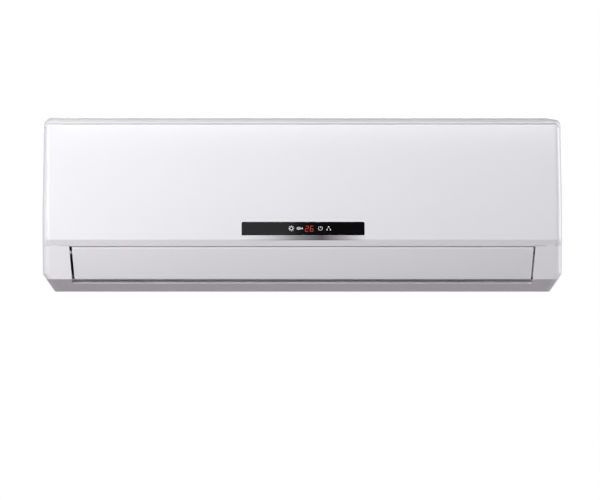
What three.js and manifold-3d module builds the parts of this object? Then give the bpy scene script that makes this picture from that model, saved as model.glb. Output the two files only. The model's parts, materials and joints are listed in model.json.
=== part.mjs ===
// Wall-mounted indoor unit of a split air conditioner.
// Millimetres, front towards -Y, +Z up. The origin is the centre of the wall plate's back face.

import * as THREE from 'three';
import { mergeVertices } from 'three/addons/utils/BufferGeometryUtils.js';
import Module from 'manifold-3d';

const wasm = await Module();
wasm.setup();

const degree = Math.PI / 180;

// ---------------------------------------------------------------- driving dimensions

// Overall
const unitWidth = 790;
const unitHeight = 265;
const unitDepth = 170;

// Fits
const fitGap = 0.3; // between two pieces that touch
const pivotGap = 0.4; // round a turning or sliding pin

// Walls
const plateThickness = 1.2;
const caseWall = 2.5;
const chassisWall = 2.5;
const panelWall = 2.5;
const panWall = 2.5;

// Front case, seen from the front
const topCornerRadius = 13;
const sideTaper = 2.6; // each side leans in by this much at the top
const cornerCutWidth = 18;
const cornerCutHeight = 27.5;
const cornerCutRadius = 6;
const bottomCornerRadius = 2;
const sideBorder = 7.5; // case beside the panel
const topStrip = 10; // case above the panel
const panelGap = 0.6;
const bevelHeight = 10;
const outletHeight = 53.6;
const outletSideWidth = 40.4; // side of the case to the outlet
const outletEndSlant = 4.4;
const outletHeadroom = 6.3; // clear of the louver's swing, behind the panel's foot
const outletDip = 2.9; // the outlet's lower edge below the face's
const undersideRise = 19;

// Front case, seen from the side
const panelDepth = 14; // panel seat to the foremost point
const noseRadius = 9.3;
const frontEdgeRadius = 12;
const bulgeHeight = 43; // foremost point above the bevel
const bulgeRadius = 1310;
const outletTopSetback = 7;
const lipSetback = 19.7;
const lipRadius = 2;
const undersideReach = 70; // from the foremost point back to the chassis bottom

// Top inlet and filters
const inletFront = 22; // from the foremost point back to the inlet window
const inletRear = 22; // from the wall plane to the inlet window
const inletSideWidth = 23; // side of the case to the inlet window
const grilleThickness = 2.2;
const grilleColumns = 5;
const grilleRows = 6;
const grilleBar = 5;
const railWidth = 3;
const railHeight = 6.3;
const filterThickness = 3.4;
const filterBorder = 5;
const filterColumns = 4;
const netThickness = 0.6;
const gripSetback = 10; // foremost point back to the filter's grip

// Front panel
const hingeSetback = 9.5;
const hingeDrop = 3.2; // hinge line below the panel's top edge
const panelTopRadius = 1.5;
const panelPinRadius = 2;
const panelPinLength = 6.4;
const panelEarRadius = 3.4;
const panelFootDepth = 2;

// Display
const displayHalfWidth = 93.5;
const displayHeight = 19.4;
const displayAboveTrim = 0.3;
const displayFlange = 3;
const displayFlangeThickness = 1.2;
const trimHeight = 8;
const trimThickness = 1;
const trimBelowBevel = 1.2;
const boardThickness = 1.6;
const boardCoverWall = 1.5;
const boardCoverMargin = 8;

// Louver
const louverTopGap = 1.8;
const louverBottomGap = 2.2;
const louverEndGap = 3.2;
const louverThickness = 4;
const louverBulge = 0.8;
const louverPivotDrop = 9.7; // pivot below the outlet's top edge
const louverPivotSetback = 20; // pivot behind the foremost point
const louverArmWidth = 3;
const louverArmRadius = 5.5;
const louverArmInset = 4; // arm inside the louver's end
const louverPinRadius = 3;
const louverShaftRadius = 2.5;
const stepperRadius = 12;
const stepperLength = 19;
const stepperOffset = 6; // the motor's centre behind and below its shaft
const stepperDrop = 5.3;

// Outlet floor and vanes
const floorFall = 11.1 * degree;
const floorFront = 35.5; // foremost point back to the floor's front edge
const vanePivotSetback = 58;
const vanePivotRise = 23.9; // floor under the vane pivot, above the unit's bottom
const vaneHeight = 42;
const vaneThickness = 1.6;
const vaneFrontReach = 22;
const vaneRearReach = 8;
const vanePinRadius = 1.5;
const vanePegReach = 14;
const vanePegRadius = 1.2;
const vaneBaseThickness = 1.8;
const vaneLinkWidth = 6;
const vaneLinkThickness = 2;
const leftVaneCount = 6;
const rightVaneCount = 4;
const middleSupportWidth = 3;

// Fan
const leftBay = 40; // side of the case to the blower chamber
const rightBay = 118;
const frontAirGap = 6.5;
const coilThickness = 20;
const coilToFan = 5;
const fanToScroll = 4;
const scrollRear = 23.5; // wall plane to the scroll's nearest point
const fanRise = 96; // fan axis above the unit's bottom
const bladeCount = 34;
const bladeChord = 13;
const bladeThickness = 1.3;
const bladeTilt = 28 * degree;
const fanDiscThickness = 3;
const fanEndGap = 4;
const fanHubRadius = 14;
const fanHubLength = 18;
const stubRadius = 5;
const bearingRadius = 11;
const motorInset = 8; // motor's radius less than the fan's
const motorPadReach = 7.3; // clamp screw outside the motor
const motorPadHalf = 3.7;
const saddleInset = 22; // motor's left end to its first saddle
const saddleSpacing = 30;
const motorLength = 62;
const motorGap = 6;
const motorShaftRadius = 4;
const clampThickness = 3;
const saddleWidth = 3;

// Coils
const coilEndGap = 0.3;
const lowerCoilTop = 90; // below the unit's top
const lowerCoilRise = 98.5; // above the unit's bottom
const coilTop = 21.5; // below the unit's top
const rearCoilDrop = 80.5; // lower end of the rear coil, below the unit's top
const rearCoilBack = 31;
const coilMeet = 15; // front coil's top edge in front of the fan's axis

// Chassis
const chassisSideGap = 22.3; // side of the case to the chassis
const chassisBack = 10; // front of the back wall to the wall plane
const channelDepth = 45;
const channelHeight = 37.5;
const rearTroughDrop = 98.5;
const endWallDrop = 32.5; // below the unit's top

// Drain
const troughDepth = 22;
const spigotRadius = 8.5;
const spigotBore = 6.5;
const spigotLength = 24;
const spigotFlange = 2.5;
const drainRise = 93.5; // above the unit's bottom
const panRise = 102.5;
const tongueRise = 82;

// Electrical parts
const boxSetback = 23; // blower chamber to the electrical box
const boxWall = 2;
const boxRise = 144.5; // above the unit's bottom
const boxDrop = 16.5; // below the unit's top
const boxDepth = 51;
const boxToPan = 4.2; // drain pan's front to the electrical box
const boardInset = 4;
const boardSetback = 9; // front of the box to the main board
const boardPostRadius = 3;
const terminalWidth = 50;
const terminalHeight = 14;
const terminalPitch = 12;
const sensorLength = 18;
const sensorRadius = 2.5;
const buttonRadius = 4;
const buttonFlange = 1.6;
const buttonInset = 65; // side of the case to the emergency button
const buttonRise = 41.5; // above the panel's lower edge
const buttonTravel = 2;

// Pipes
const gasPipeRadius = 4.76;
const liquidPipeRadius = 3.175;
const pipeBend = 16;
const pipeEnd = -60;
const pipeTurn = 20; // blower chamber to the gas pipe's drop
const pipeKnee = 40; // below the pipe's start, where it has come back to its drop
const pipeSides = 10;
const gasNutAcross = 19;
const gasNutLength = 18;
const liquidNutAcross = 14;
const liquidNutLength = 15;

// Screws
const screwRadius = 1.6;
const screwHeadRadius = 3.6;
const screwHeadHeight = 2.4;
const crossReach = 2.2;
const crossHalfWidth = 0.5;
const crossDepth = 1.2;
const caseScrewInset = 31; // side of the case to its screw
const caseScrewRise = 6.5; // above the panel's lower edge
const caseScrewLength = 11;
const clampScrewLength = 10;
const coverScrewLength = 4.5;

// Wiring cover
const wiringInset = 35; // side of the case to the cover
const wiringWidth = 55;
const wiringDrop = 26.2; // below the panel's upper edge
const wiringRise = 84; // above the panel's lower edge
const wiringMargin = 5; // round its window
const wiringPlate = 2;
const coverScrewDrop = 2.5;

// Wall plate
const plateInset = 65; // side of the case to the plate's edge
const plateRise = 62; // above the unit's bottom
const plateDrop = 28; // below the unit's top
const plateHoleRadius = 18;
const plateHoleInset = 70; // in from the plate's edge
const plateHoleRise = 28; // above its lower edge
const plateHoleDrop = 47; // below its upper edge
const hookX = 180;
const hookWidth = 40;
const hookDrop = 50; // below the unit's top
const hookHeight = 12;

// ---------------------------------------------------------------- places worked out from them

const halfWidth = unitWidth / 2;
const topZ = unitHeight / 2;
const bottomZ = -unitHeight / 2;
const frontY = -unitDepth;
const backY = -plateThickness - fitGap;
const seatY = frontY + panelDepth;
const caseInnerY = seatY + caseWall;

const lipZ = bottomZ + undersideRise;
const outletBottom = lipZ - outletDip;
const outletTop = outletBottom + outletHeight;
const panelBottom = outletTop + panelGap;
const bevelZ = panelBottom + bevelHeight;
const panelTop = topZ - topStrip;
const bulgeZ = bevelZ + bulgeHeight;
const outletTopY = frontY + outletTopSetback;
const lipY = frontY + lipSetback;
const undersideRearY = frontY + undersideReach;
const panelHalfWidth = halfWidth - sideBorder;
const outletHalfWidth = halfWidth - outletSideWidth;
const inletHalfWidth = halfWidth - inletSideWidth;
const chassisHalfWidth = halfWidth - chassisSideGap;
const endWallX = chassisHalfWidth - chassisWall;

const grilleBottom = topZ - grilleThickness;
const filterTop = grilleBottom - fitGap;
const filterBottom = filterTop - filterThickness;
const slotTop = grilleBottom;
const slotBottom = filterBottom - fitGap;
const inletFrontY = frontY + inletFront;
const inletRearY = -inletRear;

const hingeY = frontY + hingeSetback;
const hingeZ = panelTop - hingeDrop;

const chamberLeft = -halfWidth + leftBay;
const chamberRight = halfWidth - rightBay;
const coilFrontY = caseInnerY + frontAirGap;
const coilRearY = coilFrontY + coilThickness;
const fanRadius = (unitDepth - panelDepth - caseWall - frontAirGap - coilThickness
  - coilToFan - fanToScroll - chassisWall - scrollRear) / 2;
const fanY = coilRearY + coilToFan + fanRadius;
const fanZ = bottomZ + fanRise;
const vanePivotY = frontY + vanePivotSetback;
const vanePivotZ = bottomZ + vanePivotRise;
const louverPivotY = frontY + louverPivotSetback;
const louverPivotZ = outletTop - louverPivotDrop;

const caseScrewX = halfWidth - caseScrewInset;
const caseScrewZ = panelBottom + caseScrewRise;
const buttonX = halfWidth - buttonInset;
const buttonZ = panelBottom + buttonRise;
const wiringRight = halfWidth - wiringInset;
const wiringLeft = wiringRight - wiringWidth;
const wiringBottom = panelBottom + wiringRise;
const wiringTop = panelTop - wiringDrop;
const coverScrewX = (wiringLeft + wiringRight) / 2;
const coverScrewZ = wiringTop - coverScrewDrop;

const lowerCoilTopZ = topZ - lowerCoilTop;
const panFrontY = caseInnerY + fitGap;
const panRearY = coilRearY + 1.5;
const panTopZ = bottomZ + panRise;
const panFootZ = outletTop + outletHeadroom;
const tongueZ = bottomZ + tongueRise;
const drainPlace = [(panFrontY + panRearY) / 2, bottomZ + drainRise];

const motorRadius = fanRadius - motorInset;
const motorLeft = chamberRight + chassisWall + motorGap;
const motorRight = motorLeft + motorLength;
const saddleLeft = motorLeft + saddleInset;
const saddleRight = saddleLeft + saddleSpacing;
const clampScrewX = (saddleLeft + saddleRight + saddleWidth) / 2;
const clampReach = motorRadius + motorPadReach;

const channelTop = bottomZ + channelHeight;
const troughZ = topZ - rearTroughDrop;
const bulkheadFoot = bottomZ + 14;
const hookZ = topZ - hookDrop;
const pipeTurnX = chamberRight + pipeTurn;
const gasStart = [-50, topZ - 62];
const liquidStart = [-34, topZ - 80];
const gasRun = [-32, bottomZ + 20];
const liquidRun = [-14, bottomZ + 18];

// ---------------------------------------------------------------- solids

// A closed geometry as a solid that can be joined and cut.
function solid(geometry) {
  geometry.deleteAttribute('normal');
  geometry.deleteAttribute('uv');
  const merged = mergeVertices(geometry, 1e-4);
  return new wasm.Manifold(new wasm.Mesh({
    numProp: 3,
    vertProperties: Float32Array.from(merged.attributes.position.array),
    triVerts: Uint32Array.from(merged.index.array),
  }));
}

const join = (...bodies) => bodies.reduce((sum, body) => sum.add(body));
const cut = (body, ...tools) => tools.reduce((rest, tool) => rest.subtract(tool), body);
const meet = (...bodies) => bodies.reduce((common, body) => common.intersect(body));

function box([x0, x1], [y0, y1], [z0, z1]) {
  const block = new THREE.BoxGeometry(x1 - x0, y1 - y0, z1 - z0);
  block.translate((x0 + x1) / 2, (y0 + y1) / 2, (z0 + z1) / 2);
  return solid(block);
}

function extrusion(points, depth) {
  const shape = new THREE.Shape(points.map(([u, v]) => new THREE.Vector2(u, v)));
  return new THREE.ExtrudeGeometry(shape, { depth, bevelEnabled: false });
}

// A (y, z) profile drawn out along X.
function alongX(points, [x0, x1]) {
  const body = extrusion(points, x1 - x0);
  const turn = new THREE.Matrix4().makeBasis(
    new THREE.Vector3(0, 1, 0), new THREE.Vector3(0, 0, 1), new THREE.Vector3(1, 0, 0),
  );
  body.applyMatrix4(turn);
  body.translate(x0, 0, 0);
  return solid(body);
}

// An (x, z) outline drawn out along Y.
function alongY(points, [y0, y1]) {
  const body = extrusion(points, y1 - y0);
  body.rotateX(Math.PI / 2);
  body.translate(0, y1, 0);
  return solid(body);
}

// An (x, y) plan drawn out along Z.
function alongZ(points, [z0, z1]) {
  const body = extrusion(points, z1 - z0);
  body.translate(0, 0, z0);
  return solid(body);
}

// A round bar between two points.
function rod(from, to, radius, sides = 16) {
  const start = new THREE.Vector3(...from);
  const end = new THREE.Vector3(...to);
  const bar = new THREE.CylinderGeometry(radius, radius, start.distanceTo(end), sides);
  const direction = end.clone().sub(start).normalize();
  bar.applyQuaternion(new THREE.Quaternion().setFromUnitVectors(new THREE.Vector3(0, 1, 0), direction));
  const middle = start.add(end).multiplyScalar(0.5);
  bar.translate(middle.x, middle.y, middle.z);
  return solid(bar);
}

const rodX = ([x0, x1], [y, z], radius, sides) => rod([x0, y, z], [x1, y, z], radius, sides);
const rodY = ([y0, y1], [x, z], radius, sides) => rod([x, y0, z], [x, y1, z], radius, sides);
const rodZ = ([z0, z1], [x, y], radius, sides) => rod([x, y, z0], [x, y, z1], radius, sides);

// ---------------------------------------------------------------- outlines

// Corners [u, v, radius] as points, with an arc at each corner that has a radius.
function outline(corners, arcStep = 22.5 * degree) {
  const count = corners.length;
  return corners.flatMap(([u, v, radius = 0], i) => {
    if (!radius) return [[u, v]];
    const here = new THREE.Vector2(u, v);
    const before = new THREE.Vector2(...corners[(i + count - 1) % count]).sub(here).normalize();
    const after = new THREE.Vector2(...corners[(i + 1) % count]).sub(here).normalize();
    const half = Math.acos(before.dot(after)) / 2;
    const side = Math.sign(after.cross(before));
    const centre = before.clone().add(after).normalize().multiplyScalar(radius / Math.sin(half)).add(here);
    const start = before.multiplyScalar(radius / Math.tan(half)).add(here).sub(centre);
    const turn = Math.PI - 2 * half;
    const steps = Math.max(1, Math.round(turn / arcStep));
    return Array.from({ length: steps + 1 }, (_, k) => {
      const point = start.clone().rotateAround(new THREE.Vector2(), side * turn * k / steps).add(centre);
      return [point.x, point.y];
    });
  });
}

// Anticlockwise corners moved inwards by a wall.
function inset(corners, wall) {
  const count = corners.length;
  return corners.map(([u, v, radius = 0], i) => {
    const [pu, pv] = corners[(i + count - 1) % count];
    const [nu, nv] = corners[(i + 1) % count];
    const before = new THREE.Vector2(pv - v, u - pu).normalize();
    const after = new THREE.Vector2(v - nv, nu - u).normalize();
    const reach = wall / (1 + before.dot(after));
    return [u + (before.x + after.x) * reach, v + (before.y + after.y) * reach, Math.max(radius - wall, 0)];
  });
}

const mirrored = (corners) => corners.map(([u, v, radius]) => [-u, v, radius]).reverse();

// Points round an arc, angles from +u towards +v.
function arc([u, v], radius, from, to, steps) {
  return Array.from({ length: steps + 1 }, (_, k) => {
    const angle = from + (to - from) * k / steps;
    return [u + radius * Math.cos(angle), v + radius * Math.sin(angle)];
  });
}

// The corners of a regular polygon, anticlockwise.
function polygon(centre, radius, sides) {
  return arc(centre, radius, 0, 2 * Math.PI * (sides - 1) / sides, sides - 1);
}

// The y of the panel's crowned face at a height.
const faceY = (z) => frontY + (z - bulgeZ) ** 2 / (2 * bulgeRadius);

// The y of the straight face below the panel, down which the louver lies.
const lowerFaceY = (z) => outletTopY + (lipY - outletTopY) * (outletTop - z) / (outletTop - lipZ);

function crownedFace(depth, fromZ, toZ, steps = 8) {
  return Array.from({ length: steps + 1 }, (_, k) => {
    const z = fromZ + (toZ - fromZ) * k / steps;
    return [faceY(z) + depth, z];
  });
}

const rightOutline = [
  [halfWidth - cornerCutWidth, bottomZ, bottomCornerRadius],
  [halfWidth, bottomZ + cornerCutHeight, cornerCutRadius],
  [halfWidth, bulgeZ, 0],
  [halfWidth - sideTaper, topZ, topCornerRadius],
];
const frontOutline = [...rightOutline, ...mirrored(rightOutline)];

const planOutline = [
  [-halfWidth, 0], [-halfWidth, frontY, frontEdgeRadius], [halfWidth, frontY, frontEdgeRadius],
  [halfWidth, 0],
];

// ---------------------------------------------------------------- materials and parts

function finish(colour, roughness, metalness = 0) {
  return new THREE.MeshStandardMaterial({ color: colour, roughness, metalness });
}

const whitePlastic = finish(0xf4f4f6, 0.38);
const whitePanel = finish(0xf8f8fa, 0.22);
const greyPlastic = finish(0xd9d9dc, 0.5);
const blackPlastic = finish(0x26262a, 0.55);
const smokedLens = finish(0x17171a, 0.08);
const brightTrim = finish(0xd7d8dc, 0.14, 1);
const zincSteel = finish(0xa9adb1, 0.42, 1);
const aluminium = finish(0xc3c8cc, 0.35, 1);
const copper = finish(0xb8724a, 0.3, 1);
const brass = finish(0xc6a14c, 0.3, 1);
const netMesh = finish(0x5b6168, 0.8);
const circuitBoard = finish(0x2e6b45, 0.5);
const rubber = finish(0x2b2b2d, 0.85);
const foam = finish(0xe6e6e4, 0.9);

const unit = new THREE.Group();

function part(name, body, material, parent = unit) {
  const { vertProperties, triVerts } = body.getMesh();
  const geometry = new THREE.BufferGeometry();
  geometry.setAttribute('position', new THREE.BufferAttribute(vertProperties, 3));
  geometry.setIndex(new THREE.BufferAttribute(triVerts, 1));
  geometry.computeVertexNormals();
  const mesh = new THREE.Mesh(geometry, material);
  mesh.name = name;
  parent.add(mesh);
  return mesh;
}

function group(x, y, z, tilt = 0) {
  const holder = new THREE.Group();
  holder.position.set(x, y, z);
  holder.rotation.x = tilt;
  unit.add(holder);
  return holder;
}

// ---------------------------------------------------------------- front case

function outletOpening(halfSpan) {
  const corners = [
    [-halfSpan + outletEndSlant, outletBottom], [halfSpan - outletEndSlant, outletBottom],
    [halfSpan, outletTop], [-halfSpan, outletTop],
  ];
  const headroom = box([-halfSpan, halfSpan], [frontY - 1, undersideRearY],
    [outletTop - 1, outletTop + outletHeadroom]);
  return join(alongY(corners, [frontY - 1, undersideRearY]), headroom);
}

function filterRails() {
  const rails = [-inletHalfWidth + railWidth, -inletHalfWidth / 2, 0, inletHalfWidth / 2,
    inletHalfWidth - railWidth].map((x) => box(
    [x - railWidth / 2, x + railWidth / 2], [caseInnerY - 1, inletRearY + 1],
    [slotBottom - railHeight, slotBottom],
  ));
  const rearBar = box([-inletHalfWidth, inletHalfWidth], [inletRearY, inletRearY + caseWall],
    [slotBottom - railHeight, topZ - caseWall / 2]);
  const frontBar = box([-inletHalfWidth, inletHalfWidth], [caseInnerY - 1, caseInnerY + caseWall],
    [slotBottom - railHeight, slotBottom]);
  return join(rearBar, frontBar, ...rails);
}

function frontCase() {
  const noseY = faceY(panelTop);
  const profile = [
    [backY, bottomZ], [backY, topZ], [noseY, topZ, noseRadius],
    ...crownedFace(0, panelTop, bevelZ), [outletTopY, outletTop], [lipY, lipZ, lipRadius],
    [undersideRearY, bottomZ],
  ];
  const shell = meet(
    alongX(outline(profile), [-halfWidth, halfWidth]),
    alongY(outline(frontOutline), [frontY - 1, backY + 1]),
    alongZ(outline(planOutline), [bottomZ, topZ]),
  );
  const cavity = [
    [5, bottomZ - 5], [5, topZ - caseWall], [caseInnerY, topZ - caseWall, 5], [caseInnerY, outletTop + 2],
    [lowerFaceY(outletTop) + caseWall, outletTop - 2], [lipY + caseWall, lipZ + caseWall],
    [undersideRearY, bottomZ + caseWall], [undersideRearY, bottomZ - 5],
  ];
  const hollow = meet(
    alongX(outline(cavity), [-halfWidth, halfWidth]),
    alongY(outline(inset(frontOutline, caseWall)), [frontY, 5]),
  );
  const bottomOpening = box([-chassisHalfWidth - fitGap, chassisHalfWidth + fitGap],
    [undersideRearY, 5], [bottomZ - 1, bottomZ + caseWall + 1]);
  const pocket = box([-panelHalfWidth, panelHalfWidth], [frontY - 1, seatY],
    [panelBottom - panelGap / 2, panelTop + 0.7]);
  const inlet = box([-inletHalfWidth, inletHalfWidth], [inletFrontY, inletRearY], [slotBottom, topZ + 1]);
  const slotHalf = inletHalfWidth - railWidth * 1.5;
  const slots = [[-slotHalf, -railWidth / 2], [railWidth / 2, slotHalf]].map((span) => box(
    span, [frontY - 1, inletFrontY + 1], [slotBottom, slotTop],
  ));
  const pinHoles = [-1, 1].map((side) => rodX(
    [side * (panelHalfWidth - 2), side * (panelHalfWidth + 4)].sort((a, b) => a - b),
    [hingeY, hingeZ], panelPinRadius + pivotGap,
  ));
  const throughSeat = [seatY - 1, caseInnerY + 1];
  const screwHoles = [-1, 1].map((side) => rodY(throughSeat, [side * caseScrewX, caseScrewZ],
    screwRadius + fitGap));
  const buttonHole = rodY(throughSeat, [buttonX, buttonZ], buttonRadius + pivotGap);
  const wiringWindow = box([wiringLeft + wiringMargin, wiringRight - wiringMargin], throughSeat,
    [wiringBottom + wiringMargin, wiringTop - wiringMargin]);
  const wiringScrewHole = rodY(throughSeat, [coverScrewX, coverScrewZ], screwRadius + fitGap / 2);
  return cut(join(cut(shell, hollow, bottomOpening, pocket, inlet), filterRails()),
    outletOpening(outletHalfWidth), ...slots, ...pinHoles, ...screwHoles, buttonHole, wiringWindow,
    wiringScrewHole);
}

part('front_case', frontCase(), whitePlastic);

// ---------------------------------------------------------------- top inlet

function inletGrille() {
  const left = -inletHalfWidth + fitGap;
  const right = inletHalfWidth - fitGap;
  const near = inletFrontY + fitGap;
  const far = inletRearY - fitGap;
  const pitchX = (right - left - grilleBar) / (2 * grilleColumns);
  const pitchY = (far - near - grilleBar) / grilleRows;
  const plate = box([left, right], [near, far], [grilleBottom, topZ]);
  const windows = Array.from({ length: 2 * grilleColumns * grilleRows }, (_, k) => {
    const x = left + grilleBar + (k % (2 * grilleColumns)) * pitchX;
    const y = near + grilleBar + Math.floor(k / (2 * grilleColumns)) * pitchY;
    return box([x, x + pitchX - grilleBar], [y, y + pitchY - grilleBar], [grilleBottom - 1, topZ + 1]);
  });
  const footHalf = railWidth / 2;
  const feet = [left + footHalf, 0, right - footHalf].map((x) => box(
    [x - footHalf, x + footHalf], [near, far], [slotBottom + fitGap, grilleBottom + 1],
  ));
  return join(cut(plate, ...windows), ...feet);
}

part('top_inlet_grille', inletGrille(), whitePlastic);

// ---------------------------------------------------------------- filters

const filterInner = railWidth / 2 + 2 * fitGap;
const filterOuter = inletHalfWidth - railWidth - 3 * fitGap - railWidth / 2;
const filterFrontY = frontY + gripSetback;
const filterRearY = inletRearY - 2;

function filterFrame(side) {
  const xs = [side * filterInner, side * filterOuter].sort((a, b) => a - b);
  const near = inletFrontY - 2;
  const pitch = (xs[1] - xs[0] - filterBorder) / filterColumns;
  const plate = box(xs, [filterFrontY, filterRearY], [filterBottom, filterTop]);
  const windows = Array.from({ length: filterColumns }, (_, k) => box(
    [xs[0] + filterBorder + k * pitch, xs[0] + (k + 1) * pitch],
    [near + filterBorder, filterRearY - filterBorder], [filterBottom - 1, filterTop + 1],
  ));
  const netBed = box([xs[0] + 2, xs[1] - 2], [near + 2, filterRearY - 2], [filterBottom + 1.2, filterTop + 1]);
  return cut(plate, netBed, ...windows);
}

function filterNet(side) {
  const xs = [side * (filterInner + 2), side * (filterOuter - 2)].sort((a, b) => a - b);
  return box([xs[0] + fitGap, xs[1] - fitGap], [inletFrontY + fitGap, filterRearY - 2 - fitGap],
    [filterBottom + 1.2 + fitGap, filterBottom + 1.2 + fitGap + netThickness]);
}

for (const [name, side] of [['left', -1], ['right', 1]]) {
  part(`filter_frame_${name}`, filterFrame(side), greyPlastic);
  part(`filter_net_${name}`, filterNet(side), netMesh);
}

// ---------------------------------------------------------------- front panel

const panelEdge = panelHalfWidth - panelGap;
const panelRearY = seatY - fitGap;
const trimTop = bevelZ - trimBelowBevel + trimHeight;
const displayBottom = trimTop + displayAboveTrim;
const displayTop = displayBottom + displayHeight;

// The panel's outer face moved back by a depth, closed at the given rear.
function panelProfile(depth, rearY, topAbove = 0) {
  const bevelFoot = lowerFaceY(panelBottom) + depth;
  return [
    ...crownedFace(depth, panelTop + topAbove, bevelZ), [bevelFoot, panelBottom + depth],
    [rearY, panelBottom + depth], [rearY, panelTop + topAbove],
  ];
}

function frontPanel() {
  const plan = alongZ(outline(planOutline), [bottomZ, topZ]);
  const block = meet(alongX(panelProfile(0, panelRearY), [-panelEdge, panelEdge]), plan);
  const hollow = alongX(panelProfile(panelWall, 0, 10), [-panelEdge + panelWall, panelEdge - panelWall]);
  const earSpace = cut(
    box([-panelEdge - 1, panelEdge + 1], [hingeY, 0], [hingeZ, topZ]),
    rodX([-halfWidth, halfWidth], [hingeY, hingeZ], panelEarRadius, 24),
  );
  const topEdge = cut(
    box([-panelEdge - 1, panelEdge + 1], [frontY, faceY(panelTop) + panelTopRadius],
      [panelTop - panelTopRadius, topZ]),
    rodX([-halfWidth, halfWidth], [faceY(panelTop) + panelTopRadius, panelTop - panelTopRadius],
      panelTopRadius, 24),
  );
  const pins = [-1, 1].map((side) => rodX(
    [side * (panelEdge - 1), side * (panelEdge - panelWall + panelPinLength)].sort((a, b) => a - b),
    [hingeY, hingeZ], panelPinRadius,
  ));
  const lensHole = box([-displayHalfWidth, displayHalfWidth], [frontY - 1, seatY], [displayBottom, displayTop]);
  const trimBed = meet(
    cut(alongX(panelProfile(-1, 0), [-displayHalfWidth, displayHalfWidth]),
      alongX(panelProfile(trimThickness + fitGap, 0, 1), [-halfWidth, halfWidth])),
    box([-displayHalfWidth, displayHalfWidth], [frontY - 2, seatY], [trimTop - trimHeight, trimTop]),
  );
  const foot = box([-panelEdge + panelWall, panelEdge - panelWall],
    [lowerFaceY(panelBottom) + panelFootDepth, 0], [panelBottom - 1, panelBottom + panelWall + 1]);
  return cut(join(cut(block, hollow, earSpace, topEdge, foot), ...pins), lensHole, trimBed);
}

function displayWindow() {
  const front = meet(
    alongX(panelProfile(0, seatY), [-displayHalfWidth + fitGap, displayHalfWidth - fitGap]),
    box([-displayHalfWidth, displayHalfWidth], [frontY - 1, faceY(displayBottom) + panelWall + fitGap + 0.5],
      [displayBottom + fitGap, displayTop - fitGap]),
  );
  const flange = cut(
    meet(alongX(panelProfile(panelWall + fitGap, seatY), [-halfWidth, halfWidth]),
      box([-displayHalfWidth - displayFlange, displayHalfWidth + displayFlange], [frontY, seatY],
        [displayBottom - displayFlange, displayTop + displayFlange])),
    alongX(panelProfile(panelWall + fitGap + displayFlangeThickness, 0, 1), [-halfWidth, halfWidth]),
  );
  return join(front, flange);
}

function trimStrip() {
  const band = cut(
    alongX(panelProfile(0, 0), [-displayHalfWidth + fitGap, displayHalfWidth - fitGap]),
    alongX(panelProfile(trimThickness, 0, 1), [-halfWidth, halfWidth]),
  );
  return meet(band, box([-halfWidth, halfWidth], [frontY - 1, seatY],
    [trimTop - trimHeight + fitGap, trimTop - fitGap]));
}

const coverBottom = displayBottom - displayFlange - 2.5;
const coverTop = displayTop + displayFlange + 2.5;
const coverHalf = displayHalfWidth + boardCoverMargin;
const coverRearY = panelRearY - 1;
const boardRearY = coverRearY - boardCoverWall - 2;

function displayBoardCover() {
  const outer = meet(
    box([-coverHalf, coverHalf], [frontY, coverRearY], [coverBottom, coverTop]),
    alongX(panelProfile(panelWall + fitGap, 0), [-halfWidth, halfWidth]),
  );
  const inside = box([-coverHalf + boardCoverWall, coverHalf - boardCoverWall],
    [frontY, coverRearY - boardCoverWall], [coverBottom + boardCoverWall, coverTop - boardCoverWall]);
  const ribs = [-0.7, 0, 0.7].map((share) => box([share * coverHalf - 1, share * coverHalf + 1],
    [boardRearY + fitGap, coverRearY - 0.5], [coverBottom + 1, coverTop - 1]));
  return join(cut(outer, inside), ...ribs);
}

function displayBoard() {
  return box([-displayHalfWidth - 4, displayHalfWidth + 4], [boardRearY - boardThickness, boardRearY],
    [displayBottom - 2, displayTop + 2]);
}

part('front_panel', frontPanel(), whitePanel);
part('display_window', displayWindow(), smokedLens);
part('trim_strip', trimStrip(), brightTrim);
part('display_board_cover', displayBoardCover(), whitePlastic);
part('display_board', displayBoard(), circuitBoard);

// ---------------------------------------------------------------- louver

const louverTop = outletTop - louverTopGap;
const louverBottom = outletBottom + louverBottomGap;
const louverHalf = outletHalfWidth - louverEndGap;
const armX = louverHalf - outletEndSlant - louverArmInset;
const panSideX = outletHalfWidth + fitGap;
const pivot = [louverPivotY, louverPivotZ];

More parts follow.
